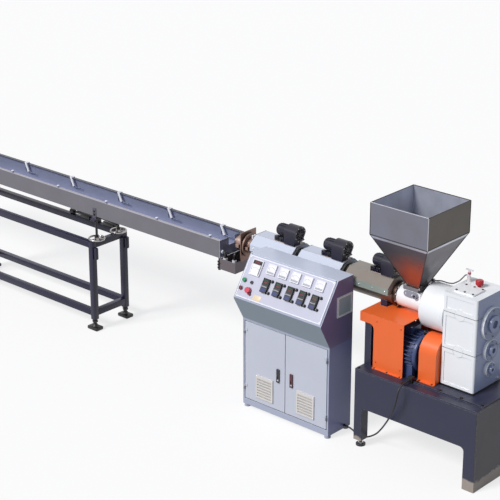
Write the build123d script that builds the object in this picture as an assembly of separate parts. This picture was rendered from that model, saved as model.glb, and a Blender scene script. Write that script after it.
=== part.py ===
"""Plastic extruder line: extruder, control cabinet and cooling trough on its stand.

Millimetres. X runs along the line towards the gearbox, the operator stands on the
-Y side and Z is up. While it is built, X = 0 is the middle of the feed throat, Y = 0 is
the barrel's axis and Z = 0 the floor. At the end the whole line is moved sideways, so
that the origin lies on the floor under the middle of the line's box.
"""

from build123d import *
import math
import os

os.makedirs("parts", exist_ok=True)

# Line
centre_height = 1000
floor = 0
joint_gap = 0.3
cut_over = 20

# Base frame
base_left = -242
base_right = 696
base_half_width = 305
deck_height = 552
deck_thickness = 12
side_plate = 10
apron_bottom = 284
end_leg_width = 87
left_leg_width = 60
left_leg_foot_height = 48
apron_corner = 30
foot_pad_radius = 32
foot_pad_height = 12
foot_stem_radius = 10
plinth_height = 10
plinth_left = 166
plinth_half_width = 235
plinth_inset = 6

# Barrel pedestal
pedestal_left = -240
pedestal_right = -190
pedestal_half_width = 215
pedestal_drop = 96
saddle_half_width = 60
saddle_drop = 40

# Motor cover
cover_left = -272
cover_right = 72
cover_column_left = -162
cover_half_width = 228
cover_height = 362
cover_arm_depth = 65
cover_sheet = 4
cover_corner = 34
cover_lip = 12

# Main motor
motor_axis_y = -85
motor_axis_rise = 150
motor_left = -170
motor_right = 150
motor_core_radius = 112
motor_fin_radius = 133
motor_fin_thickness = 5
motor_fin_count = 30
motor_cowl_radius = 131
motor_cowl_length = 58
motor_cowl_corner = 22
motor_end_shield = 26
motor_end_radius = 124
motor_end_corner = 14
motor_hub_radius = 46
motor_hub_length = 14
motor_foot_width = 36
motor_foot_height = 16
terminal_box_length = 120
terminal_box_width = 96
terminal_box_height = 52
terminal_lid_height = 10
terminal_lid_rim = 4
motor_shaft_radius = 24

# Coupling and its guard
coupling_radius = 62
coupling_flange = 34
coupling_gap = 6
guard_left = 168
guard_right = 300
guard_front = -194
guard_spring_rise = 43
guard_lip = 18

# Gearbox
gearbox_left = 302
gearbox_right = 554
gearbox_half_width = 150
gearbox_lower_share = 0.5868
gearbox_middle_rise = 60
gearbox_top_rise = 188
gearbox_edge = 14
gearbox_seam = 3
panel_relief = 4
panel_margin = 26
seam_pocket_radius = 38
seam_pocket_depth = 9
cover_flange_thickness = 22
cover_boss_thickness = 14
cover_edge = 3
bearing_cover_radii = (105, 70, 48)
bearing_height_shares = (1, 0.5982, 0.3014)

# Oil fittings on the gearbox
breather_x = 428
breather_y = 48
breather_radius = 25
breather_stem_radius = 11
breather_height = 46
breather_edge = 8
filler_x = 333
filler_y = 75
filler_radius = 13
filler_height = 30

# Inspection lid on the gearbox
lid_left = 350
lid_right = 495
lid_front = -112
lid_back = 16
lid_thickness = 10
lid_corner = 10

# Thrust housing and feed housing
thrust_neck_x = 68
thrust_shoulder_x = 116
thrust_neck_radius = 72
thrust_radius = 155
thrust_corner = 18
thrust_rim = 8
thrust_rim_width = 22
feed_left = -117
feed_radius = 69
feed_boss_half = 62
feed_boss_rise = 75
throat_radius = 30

# Cover over the cooling channel in the feed housing's front
jacket_half_height = 20
jacket_length = 112
jacket_thickness = 8
jacket_port_radius = 11
jacket_port_wall = 4
jacket_port_length = 14
jacket_drop = 24

# Slide gate in the throat, drawn out to the back
gate_body_half = 65
gate_plate_below = 10
gate_slot_height = 5
gate_plate_above = 10
gate_blade_thickness = 4
gate_blade_half_width = 40
gate_blade_clearance = 0.5
gate_blade_withdrawn = 4
gate_travel = 66
gate_handle_clearance = 5
gate_handle_length = 12
gate_handle_height = 26
gate_handle_half_width = 30

# Hopper
hopper_half = 220
hopper_bin_height = 211
hopper_cone_height = 344
hopper_outlet_half = 46
hopper_sheet = 4

# Barrel, heaters, guards and blowers
barrel_radius = 52
barrel_left = -1400
flange_right = feed_left
flange_left = -140
flange_radius = 84
heater_radius = 74
guard_count = 3
hood_right_end = -143
hood_length = 360
hood_gap = 45
hood_top_half = 54
hood_side_half = 115
hood_top_rise = 113
hood_slope_rise = 61
hood_skirt_rise = 16
hood_sheet = 3
blower_scroll_radius = 62
blower_scroll_width = 90
blower_scroll_growth = 0.24
blower_scroll_steps = 6
blower_motor_radius = 40
blower_motor_length = 92
blower_motor_corner = 12
blower_fin_radius = 44
blower_fin_thickness = 4
blower_fin_count = 14
blower_fin_margin = 16
blower_foot_length = 44
blower_foot_half = 26
blower_box_length = 34
blower_box_depth = 24
blower_box_height = 30
blower_box_pitch = 42
blower_plate_thickness = 5
blower_lift = 6
blower_plate_half = 50
blower_scroll_inset = 12
blower_eye_radius = 44
blower_eye_depth = 10
blower_grille_rings = 3
blower_grille_bars = 4
blower_grille_wire = 3

# Die
die_clamp_radius = 84
die_clamp_length = 24
die_radius = 58
die_length = 92
nozzle_radius = 30
nozzle_length = 34
die_plate_x = -1424
die_plate_thickness = 8
die_plate_half_width = 78
die_plate_rise = 100

# Control cabinet
cabinet_left = -1155
cabinet_right = -412
cabinet_front = -355
cabinet_back = -125
cabinet_foot = 20
cabinet_top = 1092
cabinet_sheet = 4
panel_top_y = -279
panel_lip_y = -447
panel_lip_z = 830
panel_lip_height = 10
door_top = 652
door_bottom = 62
door_thickness = 18
door_gap = 5
door_edge_margin = 14
cabinet_foot_radius = 22

# Door furniture
vent_width = 150
vent_height = 166
vent_depth = 8
vent_bottom = 103
vent_frame = 13
vent_recess = 4
vent_slat_count = 7
side_vent_front = -290
side_vent_bottom = 828
handle_width = 22
handle_height = 96
handle_depth = 10
handle_bottom = 274
handle_inset = 44
handle_rim = 4
handle_pocket = 6
handle_paddle_share = 0.55

# Lift-off hinges of the doors
hinge_radius = 5
hinge_pin_radius = 2.5
hinge_running_clearance = 0.08
hinge_knuckle_height = 20
hinge_standoff = 6
hinge_leaf_thickness = 3
hinge_leaf_reach = 22
hinge_end_distance = 70

# Instruments on the sloped panel
instrument_count = 5
meter_size = 70
meter_depth = 12
controller_width = 50
controller_height = 96
controller_depth = 20
master_width = 86
master_height = 108
bezel = 6
window_recess = 3
controller_window_share = 0.34
panel_plate_thickness = 4
panel_plate_margin = 12
panel_rim_height = 7
panel_rim_width = 6
button_radius = 13
button_height = 16
button_collar = 3
button_collar_height = 5
switch_radius = 8

# Cooling trough
trough_right = -1579
trough_length = 4000
trough_half_width = 124
trough_height = 128
trough_rise = 20
trough_sheet = 3
trough_lip = 24
notch_half_width = 30
notch_drop = 34
drip_right = -1437
drip_depth = 80
drip_back_height = 108
drain_radius = 8
drain_length = 86
guide_pitch = 516
guide_first_x = -1765
guide_rod_radius = 4
guide_rod_tail = 100
guide_rod_drop = 58
guide_clamp = 26

# Stand of the trough
stand_right = -2796
stand_bay = 1540
stand_half_width = 187
stand_top = 702
stand_tube = 60
stand_foot_height = 20
stand_foot_radius = 28
stand_foot_stem = 9
stand_low_rail_top = 168
stand_lug_bottom = 570
stand_lug_height = 90
stand_lug_width = 30
stand_lug_bore = 8

# Jacks under the trough
jack_y = 110
jack_radius = 9
jack_running_clearance = 0.08
saddle_bar_length = 40
saddle_bar_half = 148
saddle_bar_thickness = 14
slide_strip_height = 16
slide_strip_width = 32
slide_strip_length = 410
saddle_lug_width = 34
saddle_lug_rise = 62
saddle_lug_thickness = 4
handwheel_radius = 58
handwheel_rim = 7
handwheel_hub = 18
handwheel_height = 24
spoke_radius = 4
spoke_count = 3
spoke_turn = 30

# Motor lead, from the gland box on the deck down to the floor and into the cabinet's side.
# The points stay at their places, except that both ends follow their glands.
lead_diameter = 11
lead_box_x = 146
lead_box_half = 17
lead_box_front = -250
lead_box_depth = 30
lead_box_height = 40
lead_gland_radius = 9
lead_gland_length = 12
lead_exit_rise = 19
cabinet_gland_y = -190
cabinet_gland_z = 42
cabinet_gland_length = 16
lead_middle_points = [
    (146, -300, 571),
    (146, -338, 564),
    (146, -365, 538),
    (142, -373, 490),
    (126, -368, 430),
    (100, -358, 372),
    (62, -341, 306),
    (14, -316, 240),
    (-44, -277, 170),
    (-104, -240, 106),
    (-168, -212, 54),
    (-235, -198, 16),
    (-300, -192, 14),
    (-356, -190, 42),
]


def block(x0, x1, y0, y1, z0, z1):
    """A box between limits along each axis."""
    size = (x1 - x0, y1 - y0, z1 - z0)
    return Pos((x0 + x1) / 2, (y0 + y1) / 2, (z0 + z1) / 2) * Box(*size)


def round_along_x(radius, x0, x1, y=0, z=centre_height):
    """A cylinder lying along X between two places."""
    return Pos((x0 + x1) / 2, y, z) * Rot(0, 90, 0) * Cylinder(radius, x1 - x0)


def round_upright(radius, x, y, z0, z1):
    """A standing cylinder."""
    return Pos(x, y, (z0 + z1) / 2) * Cylinder(radius, z1 - z0)


def face_of(points):
    """A flat face inside a closed outline."""
    return make_face(Polyline(*points, close=True))


def extrude_along_x(face, x0, x1):
    """Extrudes a face drawn in (Y, Z)."""
    return extrude(Plane((x0, 0, 0), x_dir=(0, 1, 0), z_dir=(1, 0, 0)) * face, amount=x1 - x0)


def extrude_along_y(face, y0, y1):
    """Extrudes a face drawn in (X, Z)."""
    return extrude(Plane((0, y0, 0), x_dir=(1, 0, 0), z_dir=(0, -1, 0)) * face, amount=y0 - y1)


def rounded(face, corner, radius):
    """A flat face with the corner at one place rounded."""
    nearest = min(face.vertices(), key=lambda v: math.hypot(v.X - corner[0], v.Y - corner[1]))
    return fillet([nearest], radius=radius)


def turned_along_x(face, y=0, z=centre_height):
    """A turned piece from half its outline, drawn in (X, radius)."""
    return Pos(0, y, z) * revolve(face, axis=Axis.X)


def both_sides(solid):
    """A solid and its mirror image across the line's middle plane."""
    return [solid, mirror(solid, about=Plane.XZ)]


# Heights that follow the barrel's axis and the deck
pedestal_top = centre_height - pedestal_drop
saddle_top = centre_height - saddle_drop
feed_boss_top = centre_height + feed_boss_rise
cover_top = deck_height + cover_height
cover_arm_bottom = cover_top - cover_arm_depth
motor_axis_z = deck_height + motor_axis_rise
guard_spring_height = motor_axis_z + guard_spring_rise
gearbox_bottom = deck_height + plinth_height
gearbox_lower_top = gearbox_bottom + gearbox_lower_share * (centre_height - gearbox_bottom)
gearbox_middle_top = centre_height + gearbox_middle_rise
gearbox_top = centre_height + gearbox_top_rise
bearing_cover_heights = [gearbox_bottom + share * (centre_height - gearbox_bottom)
                         for share in bearing_height_shares]
die_plate_top = centre_height + die_plate_rise
trough_top = centre_height + trough_rise
trough_bottom = trough_top - trough_height
notch_bottom = centre_height - notch_drop
drip_bottom = trough_bottom - drip_depth
drip_back_top = trough_bottom + drip_back_height
drain_bottom = trough_bottom - drain_length

# Base frame
deck_underside = deck_height - deck_thickness


def make_base_deck():
    deck = block(base_left, base_right, -base_half_width, base_half_width, deck_underside, deck_height)
    rail_right = base_right - plinth_inset
    plinth = block(plinth_left, rail_right, -plinth_half_width, plinth_half_width,
                   deck_height, gearbox_bottom)
    return deck + plinth


def make_base_side_plates():
    leg_left = base_right - end_leg_width
    outline = face_of([
        (base_left, left_leg_foot_height),
        (base_left + left_leg_width, left_leg_foot_height),
        (base_left + left_leg_width, apron_bottom),
        (leg_left, apron_bottom),
        (leg_left, floor),
        (base_right, floor),
        (base_right, deck_underside),
        (base_left, deck_underside),
    ])
    inner = [v for v in outline.vertices()
             if abs(v.Y - apron_bottom) < joint_gap]
    outline = fillet(inner, radius=apron_corner)
    plate = extrude_along_y(outline, -base_half_width, -base_half_width + side_plate)
    return both_sides(plate)


def make_base_end_pedestal():
    inside = base_half_width - side_plate
    return block(base_right - end_leg_width, base_right, -inside, inside, floor, deck_underside)


def make_base_left_legs():
    inside = base_half_width - side_plate
    tube = block(base_left, base_left + left_leg_width, -inside, -inside + left_leg_width,
                 left_leg_foot_height, deck_underside)
    foot_x = base_left + left_leg_width / 2
    foot_y = -inside + left_leg_width / 2
    pad = round_upright(foot_pad_radius, foot_x, foot_y, floor, foot_pad_height)
    stem = round_upright(foot_stem_radius, foot_x, foot_y, foot_pad_height, left_leg_foot_height)
    return both_sides(tube + stem + pad)


def make_barrel_pedestal():
    post = block(pedestal_left, pedestal_right, -pedestal_half_width, pedestal_half_width,
                 deck_height, pedestal_top)
    cradle = block(pedestal_left, pedestal_right, -saddle_half_width, saddle_half_width,
                   pedestal_top, saddle_top)
    seat = round_along_x(heater_radius + joint_gap, pedestal_left - cut_over, pedestal_right + cut_over)
    return post + cradle - seat


# Motor cover
def make_motor_cover():
    outline = face_of([
        (cover_column_left, deck_height),
        (cover_right, deck_height),
        (cover_right, cover_top),
        (cover_left, cover_top),
        (cover_left, cover_arm_bottom),
        (cover_column_left, cover_arm_bottom),
    ])
    inner = [v for v in outline.vertices()
             if abs(v.Y - cover_arm_bottom) < joint_gap and abs(v.X - cover_column_left) < joint_gap]
    outline = fillet(inner, radius=cover_corner)
    front = extrude_along_y(outline, -cover_half_width, -cover_half_width + cover_sheet)
    lip = block(cover_column_left, cover_right, -cover_half_width - cover_lip, -cover_half_width,
                deck_height, deck_height + cover_sheet)
    side = front + lip
    top = block(cover_left, cover_right, -cover_half_width, cover_half_width,
                cover_top - cover_sheet, cover_top)
    slot = block(pedestal_left - cover_sheet, pedestal_right + cover_sheet,
                 -saddle_half_width - cover_sheet, saddle_half_width + cover_sheet,
                 cover_top - cut_over, cover_top + cut_over)
    return side + mirror(side, about=Plane.XZ) + (top - slot)


# Main motor
def make_main_motor():
    y, z = motor_axis_y, motor_axis_z
    core_left = motor_left + motor_cowl_length
    core_right = motor_right - motor_end_shield
    body = round_along_x(motor_core_radius, core_left, core_right, y, z)
    for index in range(motor_fin_count):
        angle = 360 * index / motor_fin_count
        fin = block(core_left, core_right, -motor_fin_thickness / 2, motor_fin_thickness / 2,
                    0, motor_fin_radius)
        body += Pos(0, y, z) * Rot(angle, 0, 0) * fin
    cowl = face_of([(motor_left, 0), (motor_left, motor_cowl_radius),
                    (core_left, motor_cowl_radius), (core_left, 0)])
    body += turned_along_x(rounded(cowl, (motor_left, motor_cowl_radius), motor_cowl_corner), y, z)
    shield = face_of([(core_right, 0), (core_right, motor_end_radius),
                      (motor_right, motor_end_radius), (motor_right, 0)])
    body += turned_along_x(rounded(shield, (motor_right, motor_end_radius), motor_end_corner), y, z)
    body += round_along_x(motor_hub_radius, motor_right, motor_right + motor_hub_length, y, z)
    feet = block(core_left, core_right, y - motor_core_radius, y + motor_core_radius,
                 deck_height, deck_height + motor_foot_height)
    for side in (-1, 1):
        inner = y + side * (motor_core_radius - motor_foot_width)
        outer = y + side * motor_core_radius
        feet += block(core_left, core_right, min(inner, outer), max(inner, outer),
                      deck_height + motor_foot_height, z - motor_foot_width)
    box_left = (core_left + core_right - terminal_box_length) / 2
    box = block(box_left, box_left + terminal_box_length,
                y - terminal_box_width / 2, y + terminal_box_width / 2,
                z + motor_core_radius, z + motor_core_radius + terminal_box_height)
    box += block(box_left - terminal_lid_rim, box_left + terminal_box_length + terminal_lid_rim,
                 y - terminal_box_width / 2 - terminal_lid_rim, y + terminal_box_width / 2 + terminal_lid_rim,
                 z + motor_core_radius + terminal_box_height - terminal_lid_height,
                 z + motor_core_radius + terminal_box_height)
    return body + feet + box


def make_shaft_coupling():
    y, z = motor_axis_y, motor_axis_z
    shaft_left = motor_right + motor_hub_length
    middle = (shaft_left + gearbox_left) / 2
    left = round_along_x(coupling_radius, middle - coupling_gap / 2 - coupling_flange,
                         middle - coupling_gap / 2, y, z)
    right = round_along_x(coupling_radius, middle + coupling_gap / 2,
                          middle + coupling_gap / 2 + coupling_flange, y, z)
    shaft = round_along_x(motor_shaft_radius, shaft_left, gearbox_left, y, z)
    return left + right + shaft


def make_coupling_guard():
    radius = motor_axis_y - guard_front

    def tunnel(reach, bottom):
        arch = Pos(motor_axis_y, guard_spring_height) * Circle(reach)
        box_height = guard_spring_height - bottom
        box = Pos(motor_axis_y, guard_spring_height - box_height / 2) * Rectangle(2 * reach, box_height)
        return arch + box

    shell = tunnel(radius, deck_height + plinth_height) - tunnel(
        radius - cover_sheet, deck_height + plinth_height)
    shell -= Pos(motor_axis_y, gearbox_bottom - cut_over / 2) * Rectangle(2 * radius, cut_over)
    hood = extrude_along_x(shell, guard_left, guard_right)
    for side in (-1, 1):
        inner = motor_axis_y + side * (radius - cover_sheet)
        outer = motor_axis_y + side * (radius + guard_lip)
        hood += block(guard_left, guard_right, min(inner, outer), max(inner, outer),
                      gearbox_bottom, gearbox_bottom + cover_sheet)
    return hood


# Gearbox
def make_gearbox_case(bottom, top, seams):
    """One cast stage, with round bolt pockets where it meets its neighbours."""
    case = block(gearbox_left, gearbox_right, -gearbox_half_width, gearbox_half_width, bottom, top)
    case = fillet(case.edges().filter_by(Axis.Z), gearbox_edge)
    rims = case.edges().filter_by(lambda e: abs(e.center().Z - bottom) < joint_gap)
    case = chamfer(rims, gearbox_seam)
    for side in (-1, 1):
        face_y = side * gearbox_half_width
        inner = face_y - side * panel_relief
        case -= block(gearbox_left + panel_margin, gearbox_right - panel_margin,
                      min(face_y, inner), max(face_y, inner),
                      bottom + panel_margin, top - panel_margin)
        pocket_end = face_y - side * seam_pocket_depth
        for seam in seams:
            pocket = Pos((gearbox_left + gearbox_right) / 2, (face_y + pocket_end) / 2, seam) * Rot(
                90, 0, 0) * Cylinder(seam_pocket_radius, seam_pocket_depth)
            case -= pocket
    return case


def make_bearing_covers():
    covers = []
    face_x = gearbox_right + cover_flange_thickness
    boss_x = face_x + cover_boss_thickness
    for radius, height in zip(bearing_cover_radii, bearing_cover_heights):
        profile = face_of([
            (gearbox_right, 0),
            (gearbox_right, radius),
            (face_x - cover_edge, radius),
            (face_x, radius - cover_edge),
            (face_x, radius / 2 + cover_edge),
            (boss_x, radius / 2),
            (boss_x, radius / 4),
            (face_x, radius / 4 - cover_edge),
            (face_x, 0),
        ])
        covers.append(turned_along_x(profile, 0, height))
    return covers


def make_oil_fittings():
    cap = round_upright(breather_radius, breather_x, breather_y,
                        gearbox_top + breather_height / 4, gearbox_top + breather_height)
    cap = fillet(cap.edges().filter_by(GeomType.CIRCLE), radius=breather_edge)
    breather = cap + round_upright(breather_stem_radius, breather_x, breather_y, gearbox_top,
                                   gearbox_top + breather_height / 2)
    filler = round_upright(filler_radius, filler_x, filler_y, gearbox_top, gearbox_top + filler_height)
    return [breather, filler]


def make_gearbox_lid():
    lid = block(lid_left, lid_right, lid_front, lid_back, gearbox_top, gearbox_top + lid_thickness)
    return fillet(lid.edges().filter_by(Axis.Z), lid_corner)


# Thrust housing and feed housing
def make_thrust_housing():
    rim_x = gearbox_left - thrust_rim_width
    profile = face_of([
        (thrust_neck_x, 0),
        (thrust_neck_x, thrust_neck_radius),
        (thrust_shoulder_x, thrust_radius - thrust_rim),
        (rim_x, thrust_radius - thrust_rim),
        (rim_x, thrust_radius),
        (gearbox_left, thrust_radius),
        (gearbox_left, 0),
    ])
    return turned_along_x(rounded(profile, (thrust_shoulder_x, thrust_radius - thrust_rim), thrust_corner))


def make_feed_housing():
    body = round_along_x(feed_radius, feed_left, thrust_neck_x)
    body += block(-feed_boss_half, thrust_neck_x, -feed_boss_half, feed_boss_half,
                  centre_height, feed_boss_top)
    body -= round_upright(throat_radius, 0, 0, centre_height, feed_boss_top + cut_over)
    return body


def make_jacket_cover():
    """An obround cover with a hose port at its right end, on the housing's front."""
    axis_z = feed_boss_top - jacket_drop
    plate = Pos(0, axis_z) * SlotOverall(jacket_length, 2 * jacket_half_height)
    front = -feed_boss_half - jacket_thickness
    cover = extrude_along_y(plate, front, -feed_boss_half)
    port_x = jacket_length / 2 - jacket_half_height
    ring = Pos(port_x, axis_z) * (Circle(jacket_port_radius + jacket_port_wall) - Circle(jacket_port_radius))
    cover += extrude_along_y(ring, front - jacket_port_length, front)
    hole = Pos(port_x, axis_z) * Circle(jacket_port_radius)
    return cover - extrude_along_y(hole, front - cut_over, front + jacket_thickness / 2)


# Hopper throat, gate and hopper
gate_slot_bottom = feed_boss_top + gate_plate_below
gate_slot_top = gate_slot_bottom + gate_slot_height
gate_body_top = gate_slot_top + gate_plate_above
hopper_cone_top = gate_body_top + hopper_cone_height
hopper_top = hopper_cone_top + hopper_bin_height


def make_hopper_throat():
    body = block(-gate_body_half, gate_body_half, -gate_body_half, gate_body_half,
                 feed_boss_top, gate_body_top)
    slot_half = gate_blade_half_width + gate_blade_clearance
    body -= block(-slot_half, slot_half, -throat_radius - gate_blade_withdrawn, gate_body_half + cut_over,
                  gate_slot_bottom, gate_slot_top)
    body -= round_upright(throat_radius, 0, 0, feed_boss_top - cut_over, gate_body_top + cut_over)
    return body


def make_slide_gate():
    middle = (gate_slot_bottom + gate_slot_top) / 2
    inner = throat_radius + gate_blade_withdrawn
    outer = gate_body_half + gate_handle_clearance + gate_travel
    blade = block(-gate_blade_half_width, gate_blade_half_width, inner, outer,
                  middle - gate_blade_thickness / 2, middle + gate_blade_thickness / 2)
    handle = block(-gate_handle_half_width, gate_handle_half_width, outer, outer + gate_handle_length,
                   middle - gate_handle_height / 2, middle + gate_handle_height / 2)
    return blade + handle


def make_hopper_cone():
    height = hopper_cone_top - gate_body_top

    def pyramid(low_half, high_half, low, high):
        bottom = Plane.XY.offset(low) * Rectangle(2 * low_half, 2 * low_half)
        top = Plane.XY.offset(high) * Rectangle(2 * high_half, 2 * high_half)
        return loft([bottom, top])

    slope = (hopper_half - hopper_outlet_half) / height
    wall = hopper_sheet * math.sqrt(1 + slope**2)
    outer = pyramid(hopper_outlet_half, hopper_half, gate_body_top, hopper_cone_top)
    inner = pyramid(hopper_outlet_half - wall - slope * cut_over, hopper_half - wall + slope * cut_over,
                    gate_body_top - cut_over, hopper_cone_top + cut_over)
    weld = joint_gap / math.sqrt(2)
    reach = 2 * hopper_half
    quarter = Plane.XY.offset(gate_body_top) * face_of([(weld, 0), (reach + weld, reach),
                                                       (reach + weld, -reach)])
    sheets = outer - inner
    return [sheets & (Rot(0, 0, turn) * extrude(quarter, amount=height)) for turn in (0, 90, 180, 270)]


def make_hopper_bin():
    outer = block(-hopper_half, hopper_half, -hopper_half, hopper_half, hopper_cone_top, hopper_top)
    inside = hopper_half - hopper_sheet
    inner = block(-inside, inside, -inside, inside, hopper_cone_top - cut_over, hopper_top + cut_over)
    return outer - inner


# Barrel
def make_barrel():
    body = round_along_x(barrel_radius, barrel_left, flange_left)
    return body + round_along_x(flange_radius, flange_left, flange_right)


def hood_span(index):
    """Left and right end of one guard, counted from the die."""
    right = hood_right_end - (guard_count - 1 - index) * (hood_length + hood_gap)
    return right - hood_length, right


def make_barrel_heaters():
    bands = []
    for index in range(guard_count):
        left, right = hood_span(index)
        band = round_along_x(heater_radius, left, right)
        band -= round_along_x(barrel_radius + joint_gap, left - cut_over, right + cut_over)
        bands.append(band)
    return bands


def make_barrel_guard(index):
    left, right = hood_span(index)
    half = [
        (hood_side_half, hood_skirt_rise),
        (hood_side_half, hood_slope_rise),
        (hood_top_half, hood_top_rise),
    ]
    outline = half + [(-y, z) for y, z in reversed(half)]
    outer = face_of([(y, centre_height + z) for y, z in outline])
    inner = offset(outer, -hood_sheet, kind=Kind.INTERSECTION)
    opening = Pos(0, centre_height + hood_skirt_rise) * Rectangle(
        2 * (hood_side_half - hood_sheet), 4 * hood_sheet)
    shell = extrude_along_x(outer - inner - opening, left, right)
    cheek = outer - Pos(0, centre_height) * Circle(heater_radius + joint_gap)
    shell += extrude_along_x(cheek, left, left + hood_sheet)
    shell += extrude_along_x(cheek, right - hood_sheet, right)
    return shell


def scroll_outline(plate_top, axis_z):
    """The snail's side view: a spiral that closes in from the outlet, and the outlet's straight walls."""
    points = []
    for step in range(blower_scroll_steps + 1):
        turned = 270 * step / blower_scroll_steps
        radius = blower_scroll_radius * (1 - blower_scroll_growth * turned / 360)
        angle = math.radians(180 - turned)
        points.append((radius * math.cos(angle), axis_z + radius * math.sin(angle)))
    spiral = Spline(*points, tangents=((0, 1), (-1, 0)))
    walls = Polyline(points[-1], (points[-1][0], plate_top), (-blower_scroll_radius, plate_top), points[0])
    return make_face([*spiral.edges(), *walls.edges()])


def blower_grille(axis_z, x0, x1):
    """Rings and bars across the inlet."""
    rings = []
    for number in range(1, blower_grille_rings + 1):
        radius = blower_eye_radius * number / (blower_grille_rings + 0.5)
        ring = Circle(radius + blower_grille_wire / 2) - Circle(radius - blower_grille_wire / 2)
        rings.append(extrude_along_x(Pos(0, axis_z) * ring, x0, x1))
    bar = Rectangle(2 * blower_eye_radius + blower_grille_wire, blower_grille_wire)
    for number in range(blower_grille_bars):
        turned = Pos(0, axis_z) * Rot(0, 0, 180 * number / blower_grille_bars) * bar
        rings.append(extrude_along_x(turned, x0, x1))
    return rings


def make_blower(index):
    right = hood_span(index)[1]
    plate_z = centre_height + hood_top_rise
    plate_top = plate_z + blower_plate_thickness
    axis_z = plate_top + blower_lift + blower_scroll_radius
    scroll_right = right - blower_scroll_inset
    scroll_left = scroll_right - blower_scroll_width
    motor_left_end = scroll_left - blower_motor_length
    body = block(motor_left_end, scroll_right, -blower_plate_half, blower_plate_half, plate_z, plate_top)
    body += extrude_along_x(scroll_outline(plate_top - joint_gap, axis_z), scroll_left, scroll_right)
    foot_left = scroll_left - (blower_motor_length + blower_foot_length) / 2
    body += block(foot_left, foot_left + blower_foot_length, -blower_foot_half, blower_foot_half,
                  plate_top - joint_gap, axis_z)
    for number in range(2):
        box_left = motor_left_end + number * blower_box_pitch
        body += block(box_left, box_left + blower_box_length, -blower_plate_half,
                      -blower_plate_half + blower_box_depth, plate_top - joint_gap,
                      plate_top + blower_box_height)
    motor = face_of([(motor_left_end, 0), (motor_left_end, blower_motor_radius),
                     (scroll_left + joint_gap, blower_motor_radius), (scroll_left + joint_gap, 0)])
    body += turned_along_x(rounded(motor, (motor_left_end, blower_motor_radius), blower_motor_corner),
                           0, axis_z)
    for number in range(blower_fin_count):
        fin = block(motor_left_end + blower_fin_margin, scroll_left - blower_fin_margin,
                    -blower_fin_thickness / 2, blower_fin_thickness / 2, 0, blower_fin_radius)
        body += Pos(0, 0, axis_z) * Rot(360 * number / blower_fin_count, 0, 0) * fin
    inlet_left = scroll_right - blower_eye_depth
    body -= round_along_x(blower_eye_radius, inlet_left, scroll_right + cut_over, 0, axis_z)
    for piece in blower_grille(axis_z, inlet_left, scroll_right):
        body += piece
    return body


# Die
def make_die_head():
    body = round_along_x(die_clamp_radius, barrel_left - die_clamp_length / 2, barrel_left)
    body += round_along_x(die_radius, barrel_left - die_length, barrel_left - die_clamp_length / 2)
    body += round_along_x(nozzle_radius, barrel_left - die_length - nozzle_length,
                          barrel_left - die_length)
    return body


def make_die_plate():
    plate = block(die_plate_x - die_plate_thickness, die_plate_x,
                  -die_plate_half_width, die_plate_half_width, trough_bottom, die_plate_top)
    hole = round_along_x(die_radius + joint_gap, die_plate_x - cut_over, die_plate_x + cut_over)
    return plate - hole


# Control cabinet
def cabinet_profile(inset):
    """Side view of the cabinet, drawn in by the sheet's thickness."""
    outline = face_of([
        (cabinet_back, cabinet_foot),
        (cabinet_back, cabinet_top),
        (panel_top_y, cabinet_top),
        (panel_lip_y, panel_lip_z),
        (panel_lip_y, panel_lip_z - panel_lip_height),
        (cabinet_front, door_top),
        (cabinet_front, cabinet_foot),
    ])
    if inset:
        outline = offset(outline, -inset, kind=Kind.INTERSECTION)
    return outline


def make_cabinet_body():
    outer = extrude_along_x(cabinet_profile(0), cabinet_left, cabinet_right)
    inner = extrude_along_x(cabinet_profile(cabinet_sheet), cabinet_left + cabinet_sheet,
                            cabinet_right - cabinet_sheet)
    doorway = block(cabinet_left + door_edge_margin, cabinet_right - door_edge_margin,
                    cabinet_front - cut_over, cabinet_front + door_thickness + joint_gap,
                    door_bottom, door_top - door_edge_margin)
    body = outer - inner - doorway
    for x in (cabinet_left, cabinet_right):
        for y in (cabinet_front, cabinet_back):
            inward_x = cabinet_foot_radius if x == cabinet_left else -cabinet_foot_radius
            inward_y = cabinet_foot_radius if y == cabinet_front else -cabinet_foot_radius
            body += round_upright(cabinet_foot_radius, x + inward_x, y + inward_y, floor, cabinet_foot)
    side_vent = Pos(side_vent_front + vent_width / 2, side_vent_bottom + vent_height / 2) * Rectangle(
        vent_width, vent_height - 2 * vent_frame)
    vent = extrude_along_x(side_vent, cabinet_right, cabinet_right + vent_depth)
    field = Pos(side_vent_front + vent_width / 2, side_vent_bottom + vent_height / 2) * Rectangle(
        vent_width - 2 * vent_frame, vent_height - 4 * vent_frame)
    vent -= extrude_along_x(field, cabinet_right + vent_depth - vent_recess, cabinet_right + 2 * vent_depth)
    return body + vent


def door_limits(left_door):
    low = cabinet_left + door_edge_margin + door_gap
    high = cabinet_right - door_edge_margin - door_gap
    middle = (low + high) / 2
    if left_door:
        return low, middle - door_gap / 2
    return middle + door_gap / 2, high


def hinge_axis(left_door):
    low, high = door_limits(left_door)
    x = low - door_gap / 2 if left_door else high + door_gap / 2
    return x, cabinet_front - hinge_standoff


hinge_heights = (door_bottom + hinge_end_distance,
                 door_top - hinge_end_distance - 2 * hinge_knuckle_height)


def hinge_leaf(x, reach, z0, z1):
    """The flat flap that carries a knuckle, lying on the cabinet's front."""
    return block(min(x, x + reach), max(x, x + reach), cabinet_front - hinge_leaf_thickness,
                 cabinet_front, z0, z1)


def make_door_hinges():
    """The cabinet's halves: a lower knuckle with its pin standing up."""
    halves = []
    for left_door in (True, False):
        x, y = hinge_axis(left_door)
        outwards = -1 if left_door else 1
        for z in hinge_heights:
            knuckle_top = z + hinge_knuckle_height
            pin_top = knuckle_top + hinge_knuckle_height - joint_gap
            half = round_upright(hinge_radius, x, y, z, knuckle_top)
            half += hinge_leaf(x, outwards * (door_edge_margin - hinge_leaf_thickness), z, knuckle_top)
            half += round_upright(hinge_pin_radius, x, y, z, pin_top)
            halves.append(half)
    return halves


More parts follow.
